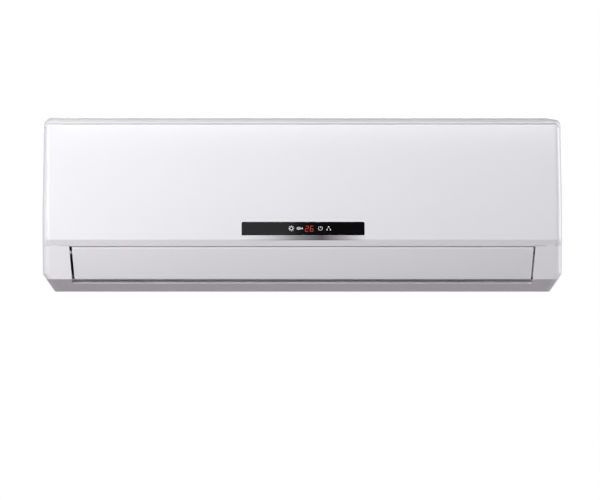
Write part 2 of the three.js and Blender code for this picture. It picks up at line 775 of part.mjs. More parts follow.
function louver() {
  const run = Math.hypot(lipY - outletTopY, outletTop - lipZ);
  const inY = (outletTop - lipZ) / run * louverThickness;
  const inZ = (lipY - outletTopY) / run * louverThickness;
  const middle = (louverTop + louverBottom) / 2;
  const corners = [
    [lowerFaceY(louverTop), louverTop, 1.6],
    [lowerFaceY(louverTop - 14) - louverBulge, louverTop - 14],
    [lowerFaceY(middle) - louverBulge, middle],
    [lowerFaceY(louverBottom + 12) - louverBulge, louverBottom + 12],
    [lowerFaceY(louverBottom), louverBottom, 1.6],
    [lowerFaceY(louverBottom) + inY, louverBottom + inZ, 1.6],
    [lowerFaceY(louverTop) + inY, louverTop + inZ, 1.6],
  ];
  const ends = [[-louverHalf + outletEndSlant, outletBottom], [louverHalf - outletEndSlant, outletBottom],
    [louverHalf, outletTop], [-louverHalf, outletTop]];
  const blade = meet(alongX(outline(corners, 45 * degree), [-louverHalf, louverHalf]),
    alongY(ends, [frontY, 0]));
  const innerY = lowerFaceY(louverPivotZ) + 1.5;
  const armProfile = [
    ...arc(pivot, louverArmRadius, -90 * degree, 90 * degree, 8),
    [innerY, louverPivotZ + louverArmRadius + 2], [innerY + 2, louverPivotZ - louverArmRadius - 4],
  ];
  const arms = [-armX, -middleArmX, middleArmX - louverArmWidth, armX - louverArmWidth].map((x) => alongX(
    armProfile, [x, x + louverArmWidth],
  ));
  const leftPin = rodX([-panSideX - panWall, -armX + 1], pivot, louverPinRadius);
  const middlePin = rodX([-middleArmX + 1, middleArmX - 1], pivot, louverPinRadius);
  const socket = rodX([armX - louverArmWidth - 1, armX + 1], pivot, louverShaftRadius + fitGap);
  return cut(join(blade, ...arms, leftPin, middlePin), socket);
}

const middleArmX = middleSupportWidth / 2 + fitGap + 1 + louverArmWidth;
const stepperFace = panSideX + panWall + fitGap;
const stepperCentre = [louverPivotY + stepperOffset, louverPivotZ - stepperDrop];

function louverMotor() {
  const can = rodX([stepperFace, stepperFace + stepperLength], stepperCentre, stepperRadius, 24);
  const nose = rodX([stepperFace - panWall, stepperFace + 1], pivot, louverShaftRadius + 3, 16);
  const ears = box([stepperFace, stepperFace + 1.5],
    [stepperCentre[0] - 3.5, stepperCentre[0] + 3.5],
    [stepperCentre[1] - stepperRadius - 4, stepperCentre[1]]);
  const bore = rodX([stepperFace - panWall - 1, stepperFace + 8], pivot, louverShaftRadius + pivotGap);
  return cut(join(can, nose, ears), bore);
}

function louverShaft() {
  const shaft = rodX([armX - louverArmWidth, stepperFace + 7], pivot, louverShaftRadius);
  const collar = rodX([armX + fitGap, armX + fitGap + 3], pivot, louverShaftRadius + 2);
  return join(shaft, collar);
}

function louverMiddleSupport() {
  const half = middleSupportWidth / 2;
  const floorAt = (y) => floorZ(y) + fitGap;
  const rearY = louverPivotY + 24;
  const nearY = frontY + floorFront + 1.5;
  const strut = alongX([
    [rearY, floorAt(rearY)], ...arc(pivot, louverArmRadius, 20 * degree, 250 * degree, 10),
    [nearY, floorAt(nearY)],
  ].reverse(), [-half, half]);
  const foot = alongX([[rearY + 3, floorAt(rearY + 3)], [rearY + 3, floorAt(rearY + 3) + 2],
    [nearY - 1, floorAt(nearY - 1) + 2], [nearY - 1, floorAt(nearY - 1)]], [-6, 6]);
  return cut(join(strut, foot), rodX([-half - 1, half + 1], pivot, louverPinRadius + pivotGap));
}

// ---------------------------------------------------------------- chassis

// Height of the straight outlet floor at a given y.
const floorZ = (y) => vanePivotZ + (y - vanePivotY) * Math.tan(floorFall);

const scrollStart = 30 * degree;
const scrollEnd = -95 * degree;
const scrollSteps = 11;

// Reach of the scroll's end, where it meets the outlet floor.
const scrollReach = (fanZ - vanePivotZ - (fanY - vanePivotY) * Math.tan(floorFall))
  / (Math.cos(scrollEnd) * Math.tan(floorFall) - Math.sin(scrollEnd));
const scrollGrowth = scrollReach - fanRadius - fanToScroll;

// The scroll behind and under the fan, running out into the floor, moved out by a depth.
function scrollLine(depth) {
  const spiral = Array.from({ length: scrollSteps + 1 }, (_, k) => {
    const angle = scrollStart + (scrollEnd - scrollStart) * k / scrollSteps;
    const reach = fanRadius + fanToScroll + scrollGrowth * k / scrollSteps + depth;
    return [fanY + reach * Math.cos(angle), fanZ + reach * Math.sin(angle)];
  });
  const edgeY = frontY + floorFront;
  return [...spiral, [edgeY, floorZ(edgeY) - depth / Math.cos(floorFall)]];
}

function bulkhead(span) {
  const profile = [
    [-chassisBack + 1, channelTop], [-chassisBack + 1, topZ - 14.5], [fanY - 29, topZ - 14.5],
    [coilFrontY - 3, lowerCoilTopZ + 7.5], [coilFrontY - 3, panTopZ + fitGap],
    [panRearY + fitGap, panTopZ + fitGap], [panRearY + fitGap, bulkheadFoot],
    [undersideRearY + 1, bottomZ + 3], [undersideRearY + 1, bottomZ + 1],
    [-channelDepth - chassisWall + 1, bottomZ + 1], [-channelDepth - chassisWall + 1, channelTop],
  ];
  return alongX(profile, span);
}

function motorSaddle(x) {
  const nearY = panRearY + fitGap;
  return alongX([
    [nearY, fanZ], [nearY, bulkheadFoot], [undersideRearY + 1, bottomZ + 3], [undersideRearY + 1, bottomZ + 1],
    [fanY + clampReach + motorPadHalf, bottomZ + 1], [fanY + clampReach + motorPadHalf, fanZ],
  ], [x, x + saddleWidth]);
}

function rearChassis() {
  const full = [-chassisHalfWidth, chassisHalfWidth];
  const chamber = [chamberLeft - chassisWall, chamberRight + chassisWall];
  const backWall = box(full, [-chassisBack, -chassisBack + chassisWall], [channelTop, topZ - 6.5]);
  const topRim = box(full, [-chassisBack, backY], [topZ - 9, topZ - 6.5]);
  const bottomWall = box(full, [undersideRearY + fitGap, backY], [bottomZ, bottomZ + chassisWall]);
  const channelRoof = box(full, [-channelDepth - chassisWall, -chassisBack + 1],
    [channelTop, channelTop + chassisWall]);
  const channelFront = box(full, [-channelDepth - chassisWall, -channelDepth], [bottomZ + 1, channelTop + 1]);
  const scroll = alongX([...scrollLine(0), ...scrollLine(chassisWall).reverse()], chamber);
  const startY = scrollLine(0)[0][0];
  const startZ = scrollLine(0)[0][1];
  const scrollTop = box(chamber, [startY, startY + chassisWall], [startZ - 1, troughZ + 1]);
  const troughFloor = box(chamber, [-50, -chassisBack + 1], [troughZ, troughZ + chassisWall]);
  const troughLip = box(chamber, [-50, -50 + chassisWall], [troughZ, troughZ + 12]);
  const endProfile = [
    [backY, bottomZ], [backY, topZ - endWallDrop], [-30, topZ - endWallDrop], [coilFrontY - 3, panelBottom + 44],
    [coilFrontY - 3, caseScrewZ - 5], [panRearY + 1, caseScrewZ - 9], [panRearY + 1, bottomZ + 13],
    [undersideRearY + fitGap, bottomZ + 4], [undersideRearY + fitGap, bottomZ],
  ];
  const endWalls = [[-chassisHalfWidth, -endWallX], [endWallX, chassisHalfWidth]].map((span) => alongX(
    endProfile, span,
  ));
  const frontFloorRun = [chamberLeft - chassisWall, -chamberLeft];
  const edgeY = frontY + floorFront;
  const innerY = panRearY + 6;
  const frontFloor = alongX([[edgeY, floorZ(edgeY)], [innerY, floorZ(innerY)],
    [innerY, floorZ(innerY) - chassisWall], [edgeY, floorZ(edgeY) - chassisWall]], frontFloorRun);
  const floorProp = box([chamberRight, -chamberLeft], [innerY - chassisWall, innerY],
    [bottomZ + 12, floorZ(innerY) - 1]);
  const propFoot = box([chamberRight, -chamberLeft], [innerY - chassisWall, undersideRearY + 2],
    [bottomZ + 12, bottomZ + 14]);
  const saddles = [saddleLeft, saddleRight].map(motorSaddle);
  const pads = [-1, 1].map((side) => box([saddleLeft, saddleRight + saddleWidth],
    [fanY + side * clampReach - motorPadHalf, fanY + side * clampReach + motorPadHalf], [fanZ - 10, fanZ]));
  const motorBed = rodX([saddleLeft - 1, saddleRight + saddleWidth + 1], [fanY, fanZ],
    motorRadius + fitGap, 32);
  const padHoles = [-1, 1].map((side) => rodZ([fanZ - 9, fanZ + 1],
    [clampScrewX, fanY + side * clampReach], screwRadius + fitGap));
  const bearingHole = rodX([chamberLeft - chassisWall - 1, chamberLeft + 1], [fanY, fanZ],
    bearingRadius + fitGap, 24);
  const shaftHole = rodX([chamberRight - 1, chamberRight + chassisWall + 1], [fanY, fanZ], 12, 24);
  const pipeHoles = [[gasStart, gasPipeRadius], [liquidStart, liquidPipeRadius]].map(
    ([place, radius]) => rodX([chamberRight - 1, chamberRight + chassisWall + 1], place, radius + fitGap),
  );
  const pipeDrop = box([pipeTurnX - 9, pipeTurnX + 8], [-channelDepth + 2, -chassisBack - 0.2],
    [channelTop - 1, channelTop + chassisWall + 1]);
  const drainHole = rodX([-chassisHalfWidth - 1, -endWallX + 1], drainPlace, spigotRadius + 1.5, 20);
  const hookSlots = [-1, 1].map((side) => box([side * hookX - hookWidth / 2 - 1, side * hookX + hookWidth / 2 + 1],
    [-chassisBack - 1, 0], [hookZ - 1, hookZ + 7]));
  const backWindows = [[chamberLeft + 25, -20], [20, chamberRight - 25]].map((span) => box(
    span, [-chassisBack - 1, -chassisBack + chassisWall + 1], [channelTop + 25, troughZ - 20],
  ));
  return cut(join(backWall, topRim, bottomWall, channelRoof, channelFront, scroll, scrollTop,
    troughFloor, troughLip, ...endWalls, frontFloor, floorProp, propFoot, ...saddles, ...pads,
    bulkhead([chamberLeft - chassisWall, chamberLeft]), bulkhead([chamberRight, chamberRight + chassisWall])),
  motorBed, ...padHoles, bearingHole, shaftHole, ...pipeHoles, ...hookSlots, ...backWindows,
  pipeDrop, drainHole,
  box([-halfWidth, halfWidth], [-channelDepth, 1], [bottomZ + chassisWall, channelTop]));
}

part('rear_chassis', rearChassis(), greyPlastic);
part('louver', louver(), whitePlastic);
part('louver_motor', louverMotor(), zincSteel);
part('louver_shaft', louverShaft(), blackPlastic);
part('louver_middle_support', louverMiddleSupport(), greyPlastic);

// ---------------------------------------------------------------- wall plate

function wallPlate() {
  const half = halfWidth - plateInset;
  const sheet = box([-half, half], [-plateThickness, 0], [bottomZ + plateRise, topZ - plateDrop]);
  const rows = [bottomZ + plateRise + plateHoleRise, topZ - plateDrop - plateHoleDrop];
  const holes = [-1, 1].flatMap((side) => rows.map((z) => rodY(
    [-plateThickness - 1, 1], [side * (half - plateHoleInset), z], plateHoleRadius, 16,
  )));
  const hooks = [-1, 1].map((side) => {
    const span = [side * hookX - hookWidth / 2, side * hookX + hookWidth / 2];
    return join(
      box(span, [-chassisBack - fitGap - plateThickness, 0], [hookZ, hookZ + plateThickness]),
      box(span, [-chassisBack - fitGap - plateThickness, -chassisBack - fitGap], [hookZ, hookZ + hookHeight]),
    );
  });
  return join(cut(sheet, ...holes), ...hooks);
}

part('wall_plate', wallPlate(), zincSteel);

// ---------------------------------------------------------------- drain pan

function drainPan() {
  const span = [-panSideX - panWall, panSideX + panWall];
  const body = alongX([
    [panFrontY, panFootZ], [panRearY, tongueZ], [panRearY, panTopZ - 6], [panRearY - panWall, panTopZ - 6],
    [panRearY - panWall, panTopZ - troughDepth + 6], [panFrontY + panWall, panTopZ - troughDepth],
    [panFrontY + panWall, panTopZ], [panFrontY, panTopZ],
  ], span);
  const endCaps = [[span[0], span[0] + panWall], [span[1] - panWall, span[1]]].map((run) => alongX([
    [panFrontY, panTopZ], [panFrontY, panFootZ], [panFrontY + 2, outletBottom + 22],
    [panFrontY + 13, outletBottom + 6],
    [panRearY, outletBottom + 9], [panRearY, panTopZ - 2],
  ], run));
  const lugs = [-1, 1].map((side) => box(
    [side * (span[1] - 1), side * (endWallX - fitGap)].sort((a, b) => a - b),
    [panFrontY, panFrontY + 11], [caseScrewZ - 5, caseScrewZ + 6],
  ));
  const blank = alongZ([[chamberRight + chassisWall, panRearY - 1.2], [chamberRight + chassisWall, panRearY],
    [panSideX + 1, panRearY - 8], [panSideX + 1, panRearY - 10]].reverse(), [floorZ(panRearY) + 1, tongueZ + 2]);
  const pinHole = rodX([span[0] - 1, span[0] + panWall + 1], pivot, louverPinRadius + pivotGap);
  const noseHole = rodX([span[1] - panWall - 1, span[1] + 1], pivot, louverShaftRadius + 3 + fitGap);
  const screwHoles = [-1, 1].map((side) => rodY([panFrontY - 1, panFrontY + 10], [side * caseScrewX, caseScrewZ],
    screwRadius + fitGap));
  const drainHoles = [rodX([span[0] - 1, span[0] + panWall + 1], drainPlace, spigotBore),
    rodX([span[1] - panWall - 1, span[1] + 1], drainPlace, spigotBore)];
  return cut(join(body, ...endCaps, ...lugs, blank), pinHole, noseHole, ...screwHoles, ...drainHoles);
}

function drainSpigot() {
  const face = -panSideX - panWall - fitGap;
  return cut(
    join(rodX([face - spigotLength, face], drainPlace, spigotRadius, 20),
      rodX([face - 2, face], drainPlace, spigotRadius + spigotFlange, 20)),
    rodX([face - spigotLength - 1, face + 1], drainPlace, spigotBore, 20),
  );
}

function drainPlug() {
  const face = panSideX + panWall + fitGap;
  return join(rodX([face - panWall - 3, face + 2], drainPlace, spigotBore - fitGap, 20),
    rodX([face, face + 3], drainPlace, spigotBore + 2, 20));
}

part('drain_pan', drainPan(), foam);
part('drain_spigot', drainSpigot(), blackPlastic);
part('drain_plug', drainPlug(), rubber);

// ---------------------------------------------------------------- coils

// A slab of coil of one thickness between two points of its middle line.
function coilSlab(from, to) {
  const start = new THREE.Vector2(...from);
  const end = new THREE.Vector2(...to);
  const along = end.clone().sub(start).normalize();
  const offset = new THREE.Vector2(-along.y, along.x).multiplyScalar(coilThickness / 2);
  const corners = [start.clone().sub(offset), end.clone().sub(offset), end.clone().add(offset),
    start.clone().add(offset)].map(({ x, y }) => [x, y]);
  return alongX(corners, [chamberLeft + coilEndGap, chamberRight - coilEndGap]);
}

const coilMiddleY = coilFrontY + coilThickness / 2;
const coilBend = [coilMiddleY + 3.4, lowerCoilTopZ + 6.4];

part('evaporator_front_lower', coilSlab([coilMiddleY, bottomZ + lowerCoilRise], [coilMiddleY, lowerCoilTopZ]),
  aluminium);
part('evaporator_front_upper', coilSlab(coilBend, [fanY - coilMeet, topZ - coilTop]), aluminium);
part('evaporator_rear', coilSlab([-rearCoilBack, topZ - rearCoilDrop], [fanY + 2, topZ - coilTop]), aluminium);

// ---------------------------------------------------------------- fan

const fanLeft = chamberLeft + fanEndGap;
const fanRight = chamberRight - fanEndGap;

function bladeSection(index) {
  const angle = 2 * Math.PI * index / bladeCount;
  const middle = fanRadius - bladeChord / 2 * Math.cos(bladeTilt) - 0.8;
  const offsets = [[-0.5, 0], [0, 1.6], [0.5, 0]];
  const sideLine = (shift) => offsets.map(([share, bow]) => {
    const along = share * bladeChord;
    const across = bow + shift;
    const u = middle + along * Math.cos(bladeTilt) - across * Math.sin(bladeTilt);
    const v = along * Math.sin(bladeTilt) + across * Math.cos(bladeTilt);
    return [fanY + u * Math.cos(angle) - v * Math.sin(angle), fanZ + u * Math.sin(angle) + v * Math.cos(angle)];
  });
  return [...sideLine(0), ...sideLine(bladeThickness).reverse()];
}

function crossflowFan() {
  const blades = Array.from({ length: bladeCount }, (_, k) => alongX(
    bladeSection(k), [fanLeft + 1, fanRight - 1],
  ));
  const centre = [fanY, fanZ];
  const end = (x0, x1) => rodX([x0, x1], centre, fanRadius, bladeCount);
  const middle = (fanLeft + fanRight) / 2;
  const ring = cut(end(middle - fanDiscThickness / 2, middle + fanDiscThickness / 2),
    rodX([middle - 5, middle + 5], centre, fanRadius - bladeChord - 2, bladeCount));
  const hub = rodX([fanRight - fanHubLength, fanRight], centre, fanHubRadius, 20);
  const stub = rodX([chamberLeft - chassisWall - 3, fanLeft + 1], centre, stubRadius);
  const bore = rodX([fanRight - fanHubLength + 2, fanRight + 1], centre, motorShaftRadius + fitGap);
  return cut(join(end(fanLeft, fanLeft + fanDiscThickness), end(fanRight - fanDiscThickness, fanRight),
    ring, hub, stub, ...blades), bore);
}

function fanBearing() {
  const place = [fanY, fanZ];
  const face = chamberLeft - chassisWall - fitGap;
  return cut(
    join(rodX([face - 3, chamberLeft], place, bearingRadius, 24),
      rodX([face - 3, face], place, bearingRadius + 3, 24)),
    rodX([face - 4, chamberLeft + 1], place, stubRadius + pivotGap),
  );
}

function fanMotorShaft() {
  return rodX([fanRight - fanHubLength + 3, motorLeft + 14], [fanY, fanZ], motorShaftRadius);
}

function fanMotor() {
  const place = [fanY, fanZ];
  return cut(
    join(rodX([motorLeft + 2, motorRight - 2], place, motorRadius, 32),
      rodX([motorLeft, motorRight], place, motorRadius - 3, 32),
      rodX([motorLeft - motorGap + fitGap, motorLeft + 1], place, 9, 20)),
    rodX([motorLeft - motorGap, motorLeft + 15], place, motorShaftRadius + pivotGap),
  );
}

function motorClamp() {
  const span = [saddleLeft, saddleRight + saddleWidth];
  const inner = motorRadius + fitGap;
  const footZ = fanZ + fitGap;
  const bow = cut(rodX(span, [fanY, fanZ], inner + clampThickness, 32),
    rodX([span[0] - 1, span[1] + 1], [fanY, fanZ], inner, 32));
  const feet = [-1, 1].map((side) => box(span,
    [fanY + side * (inner + 1), fanY + side * (clampReach + motorPadHalf)].sort((a, b) => a - b),
    [footZ, footZ + clampThickness]));
  const above = box([span[0] - 1, span[1] + 1], [fanY - 80, fanY + 80], [footZ, fanZ + 80]);
  const screwHoles = [-1, 1].map((side) => rodZ([footZ - 1, footZ + 9],
    [clampScrewX, fanY + side * clampReach], screwRadius + fitGap));
  return cut(meet(join(bow, ...feet), above), rodX([span[0] - 1, span[1] + 1], [fanY, fanZ], inner, 32),
    ...screwHoles);
}

part('crossflow_fan', crossflowFan(), blackPlastic);
part('fan_bearing', fanBearing(), rubber);
part('fan_motor_shaft', fanMotorShaft(), zincSteel);
part('fan_motor', fanMotor(), zincSteel);
part('motor_clamp', motorClamp(), greyPlastic);

// ---------------------------------------------------------------- vanes

const outlet = group(0, vanePivotY, vanePivotZ, floorFall);
const vaneFoot = vaneBaseThickness + 2 * fitGap;
const vaneStep = vaneFoot + vaneLinkThickness + 2 * fitGap + 0.4;

// A vane about its own pivot, front towards -Y, floor at z = 0.
function vane() {
  const plate = alongX([
    [-6, vaneStep], [-vaneFrontReach, vaneStep], [-vaneFrontReach + 5, vaneHeight], [-6, vaneHeight],
    [vaneRearReach, vaneHeight * 0.42], [vaneRearReach, vaneFoot], [-6, vaneFoot],
  ].reverse(), [-vaneThickness / 2, vaneThickness / 2]);
  const pin = rodZ([2 * fitGap, vaneFoot + 6], [0, 0], vanePinRadius, 12);
  const peg = rodZ([vaneFoot - fitGap / 2, vaneStep + 5], [0, -vanePegReach], vanePegRadius, 12);
  return join(plate, pin, peg);
}

function vaneBase(from, to, places) {
  const strip = box([from, to], [-6, vaneRearReach], [fitGap, vaneBaseThickness + fitGap]);
  return cut(strip, ...places.map((x) => rodZ([-1, vaneBaseThickness + 1], [x, 0], vanePinRadius + pivotGap, 12)));
}

function vaneLink(places) {
  const near = -vanePegReach - vaneLinkWidth / 2;
  const bar = box([places[0] - 5, places[places.length - 1] + 5], [near, near + vaneLinkWidth],
    [vaneFoot + fitGap, vaneFoot + fitGap + vaneLinkThickness]);
  return cut(bar, ...places.map((x) => rodZ([vaneFoot - 1, vaneStep + 1], [x, -vanePegReach],
    vanePegRadius + fitGap, 12)));
}

function vaneGroup(name, from, to, count) {
  const pitch = (to - from) / count;
  const places = Array.from({ length: count }, (_, k) => from + pitch * (k + 0.5));
  part(`vane_base_${name}`, vaneBase(from, to, places), greyPlastic, outlet);
  part(`vane_link_${name}`, vaneLink(places), greyPlastic, outlet);
  places.forEach((x, k) => {
    part(`vane_${name}_${k + 1}`, vane(), blackPlastic, outlet).position.x = x;
  });
}

const supportSpace = 7;
vaneGroup('left', chamberLeft + fitGap, -supportSpace, leftVaneCount);
vaneGroup('right', supportSpace, chamberRight - fitGap, rightVaneCount);

// ---------------------------------------------------------------- electrical parts

const boxLeft = chamberRight + boxSetback;
const boxRight = endWallX - fitGap;
const boxBottom = bottomZ + boxRise;
const boxTop = topZ - boxDrop;
const boxFrontY = panFrontY + boxToPan;
const boxRearY = boxFrontY + boxDepth;
const mainBoardY = boxFrontY + boardSetback;

function electricalBox() {
  const tray = cut(box([boxLeft, boxRight], [boxFrontY, boxRearY], [boxBottom, boxTop]),
    box([boxLeft + boxWall, boxRight - boxWall], [boxFrontY - 1, boxRearY - boxWall],
      [boxBottom + boxWall, boxTop - boxWall]));
  const posts = [boxLeft + 9, boxRight - 9].flatMap((x) => [boxBottom + 12, boxTop - 12].map((z) => rodY(
    [mainBoardY + boardThickness + fitGap, boxRearY - 1], [x, z], boardPostRadius, 12,
  )));
  return join(tray, ...posts);
}

function electricalBoxCover() {
  return box([boxLeft, boxRight], [boxFrontY - fitGap - boxWall, boxFrontY - fitGap], [boxBottom, boxTop]);
}

function mainBoard() {
  const board = box([boxLeft + boardInset, boxRight - boardInset], [mainBoardY, mainBoardY + boardThickness],
    [boxBottom + boardInset + 1, boxTop - boardInset - 1]);
  const y = mainBoardY + 0.5;
  const parts = [
    rodY([y - 8, y], [boxLeft + 18, boxTop - 22], 7, 16),
    box([boxLeft + 32, boxLeft + 54], [y - 8, y], [boxTop - 34, boxTop - 16]),
    box([boxLeft + 12, boxLeft + 30], [y - 6, y], [boxBottom + 40, boxBottom + 52]),
    box([boxLeft + 38, boxLeft + 52], [y - 2, y], [boxBottom + 38, boxBottom + 52]),
    box([boxLeft + 10, boxLeft + 56], [y - 5, y], [boxBottom + 12, boxBottom + 20]),
  ];
  return join(board, ...parts);
}

function terminalBlock() {
  const top = boxBottom - fitGap;
  const left = boxLeft + 10;
  const body = box([left, left + terminalWidth], [boxFrontY + 4, boxFrontY + 24], [top - terminalHeight, top]);
  const pockets = [0, 1, 2, 3].map((k) => box([left + 3 + terminalPitch * k, left + 11 + terminalPitch * k],
    [boxFrontY + 3, boxFrontY + 12], [top - terminalHeight + 2, top - 3]));
  return cut(body, ...pockets);
}

function coilSensor() {
  const face = chamberRight + chassisWall + fitGap;
  return rodX([face, face + sensorLength], [coilMiddleY, lowerCoilTopZ - coilThickness], sensorRadius, 12);
}

function manualButton() {
  return join(
    rodY([seatY - buttonTravel - 0.5, caseInnerY + fitGap + 1], [buttonX, buttonZ], buttonRadius, 20),
    rodY([caseInnerY + fitGap, caseInnerY + fitGap + 1.2], [buttonX, buttonZ], buttonRadius + buttonFlange, 20),
  );
}

function wiringCover() {
  const margin = wiringMargin + fitGap;
  const plate = box([wiringLeft, wiringRight], [seatY - fitGap - wiringPlate, seatY - fitGap],
    [wiringBottom, wiringTop]);
  const plug = box([wiringLeft + margin, wiringRight - margin], [seatY - 1, caseInnerY],
    [wiringBottom + margin, wiringTop - margin]);
  const hole = rodY([seatY - wiringPlate - 2, seatY], [coverScrewX, coverScrewZ], screwRadius + fitGap);
  return cut(join(plate, plug), hole);
}

part('electrical_box', electricalBox(), greyPlastic);
part('electrical_box_cover', electricalBoxCover(), zincSteel);
part('main_board', mainBoard(), circuitBoard);
part('terminal_block', terminalBlock(), blackPlastic);
part('coil_sensor', coilSensor(), copper);
part('manual_button', manualButton(), greyPlastic);
part('wiring_cover', wiringCover(), whitePlastic);

// ---------------------------------------------------------------- screws

// A pan-head screw with a cross recess, head at z = 0 and up, shank down.
function screw(length) {
  const head = rodZ([0, screwHeadHeight], [0, 0], screwHeadRadius, 16);
  const shank = rodZ([-length, 0.5], [0, 0], screwRadius, 12);
  const long = [-crossReach, crossReach];
  const short = [-crossHalfWidth, crossHalfWidth];
  const deep = [screwHeadHeight - crossDepth, screwHeadHeight + 1];
  const cross = [box(long, short, deep), box(short, long, deep)];
  return cut(join(head, shank), ...cross);
}

function placeScrew(name, length, [x, y, z], facingFront) {
  const holder = group(x, y, z, facingFront ? Math.PI / 2 : 0);
  part(name, screw(length), zincSteel, holder);
}

const screwSeatY = seatY - fitGap;
placeScrew('case_screw_left', caseScrewLength, [-caseScrewX, screwSeatY, caseScrewZ], true);
placeScrew('case_screw_right', caseScrewLength, [caseScrewX, screwSeatY, caseScrewZ], true);
placeScrew('wiring_cover_screw', coverScrewLength,
  [coverScrewX, screwSeatY - wiringPlate - fitGap, coverScrewZ], true);
for (const [name, side] of [['front', -1], ['rear', 1]]) {
  placeScrew(`motor_clamp_screw_${name}`, clampScrewLength,
    [clampScrewX, fanY + side * clampReach, fanZ + clampThickness + 2 * fitGap], false);
}

// ---------------------------------------------------------------- pipes

// A centre line through stations that are given with their directions.
class StationPath extends THREE.Curve {
  constructor(stations) {
    super();
    this.stations = stations;
  }

  getPointAt(share) {
    return this.stations[Math.round(share * (this.stations.length - 1))].point.clone();
  }

  getTangentAt(share) {
    return this.stations[Math.round(share * (this.stations.length - 1))].direction.clone();
  }
}

// Stations along straight runs that are bent to one radius at each inner corner.
function bentStations(corners, bendSteps = 4) {
  const points = corners.map((corner) => new THREE.Vector3(...corner));
  const heading = (i) => points[i + 1].clone().sub(points[i]).normalize();
  const last = points.length - 1;
  const stations = [{ point: points[0], direction: heading(0) }];
  for (let i = 1; i < last; i += 1) {
    const ahead = heading(i - 1);
    const turn = ahead.angleTo(heading(i));
    const inward = heading(i).addScaledVector(ahead, -Math.cos(turn)).normalize();
    const start = points[i].clone().addScaledVector(ahead, -pipeBend * Math.tan(turn / 2));
    for (let k = 0; k <= bendSteps; k += 1) {
      const angle = turn * k / bendSteps;
      stations.push({
        point: start.clone().addScaledVector(ahead, pipeBend * Math.sin(angle))
          .addScaledVector(inward, pipeBend * (1 - Math.cos(angle))),
        direction: ahead.clone().multiplyScalar(Math.cos(angle)).addScaledVector(inward, Math.sin(angle)),
      });
    }
  }
  return [...stations, { point: points[last], direction: heading(last - 1) }];
}

function pipe(corners, radius) {
  const stations = bentStations(corners);
  const circle = polygon([0, 0], radius, pipeSides).map(([u, v]) => new THREE.Vector2(u, v));
  return solid(new THREE.ExtrudeGeometry(new THREE.Shape(circle), {
    steps: stations.length - 1, bevelEnabled: false, extrudePath: new StationPath(stations),
  }));
}

function flareNut(place, radius, acrossFlats, length) {
  return cut(alongX(polygon(place, acrossFlats / Math.sqrt(3), 6), [pipeEnd, pipeEnd + length]),
    rodX([pipeEnd - 1, pipeEnd + length + 1], place, radius + fitGap, 16));
}

// From the coil's end, down behind the motor and along the channel to the nut.
function pipeRoute(start, turnX, run) {
  return [[chamberRight, ...start], [turnX, ...start], [turnX, run[0], start[1] - pipeKnee], [turnX, ...run],
    [pipeEnd + 2, ...run]];
}

part('gas_pipe', pipe(pipeRoute(gasStart, pipeTurnX, gasRun), gasPipeRadius), copper);
part('liquid_pipe', pipe(pipeRoute(liquidStart, pipeTurnX - 2, liquidRun), liquidPipeRadius), copper);
part('gas_flare_nut', flareNut(gasRun, gasPipeRadius, gasNutAcross, gasNutLength), brass);
part('liquid_flare_nut', flareNut(liquidRun, liquidPipeRadius, liquidNutAcross, liquidNutLength), brass);

export default unit;
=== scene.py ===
"""The indoor unit of a split air conditioner, dressed over its solids.

Sizes are in millimetres, with the front towards -Y, +Z up and the wall plane at y = 0. Meshes are scaled to
metres as they are made.
"""

import json
import math

import bmesh
import bpy
from bpy.props import FloatProperty, FloatVectorProperty, PointerProperty, StringProperty
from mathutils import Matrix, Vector
from mathutils.geometry import convex_hull_2d


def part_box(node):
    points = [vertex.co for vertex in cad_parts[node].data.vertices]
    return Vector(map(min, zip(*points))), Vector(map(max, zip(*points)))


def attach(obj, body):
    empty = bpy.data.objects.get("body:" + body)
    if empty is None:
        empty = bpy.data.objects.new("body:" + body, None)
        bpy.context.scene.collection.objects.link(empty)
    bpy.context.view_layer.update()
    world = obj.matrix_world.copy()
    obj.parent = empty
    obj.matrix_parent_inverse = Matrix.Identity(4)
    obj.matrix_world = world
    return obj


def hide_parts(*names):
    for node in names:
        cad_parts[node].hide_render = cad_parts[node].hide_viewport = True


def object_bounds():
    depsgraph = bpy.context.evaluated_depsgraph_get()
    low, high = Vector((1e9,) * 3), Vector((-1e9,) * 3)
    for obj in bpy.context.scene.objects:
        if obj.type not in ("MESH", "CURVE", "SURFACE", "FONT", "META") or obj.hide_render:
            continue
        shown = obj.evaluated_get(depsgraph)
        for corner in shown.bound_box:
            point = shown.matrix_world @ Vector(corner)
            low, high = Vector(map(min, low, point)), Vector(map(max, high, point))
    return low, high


bl_info = {
    "name": "Split Air Conditioner Indoor Unit",
    "version": (1, 0, 0),
    "blender": (4, 5, 0),
    "location": "View3D > Sidebar > Indoor Unit",
    "description": "Dresses the indoor unit's solids with mouldings, display, coils and stage",
    "category": "Add Mesh",
}

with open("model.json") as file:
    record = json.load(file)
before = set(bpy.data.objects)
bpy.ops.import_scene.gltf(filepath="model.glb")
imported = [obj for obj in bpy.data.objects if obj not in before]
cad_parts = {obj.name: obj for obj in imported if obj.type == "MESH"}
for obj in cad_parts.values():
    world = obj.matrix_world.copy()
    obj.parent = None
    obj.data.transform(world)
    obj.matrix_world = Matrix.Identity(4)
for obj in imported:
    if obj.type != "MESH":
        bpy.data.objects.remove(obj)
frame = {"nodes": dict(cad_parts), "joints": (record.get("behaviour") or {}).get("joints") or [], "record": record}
CAD_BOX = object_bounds()
MM = 0.001


def node_box(name):
    """A CAD node's lowest and highest corner at rest, in millimetres."""
    low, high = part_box(name)
    return low / MM, high / MM


def linear(hex_colour):
    """An sRGB hex colour as linear RGBA."""
    values = [int(hex_colour[k:k + 2], 16) / 255 for k in (1, 3, 5)]
    return (*[v / 12.92 if v <= 0.04045 else ((v + 0.055) / 1.055) ** 2.4 for v in values], 1.0)


# ---------------------------------------------------------------- sizes that come from the frame

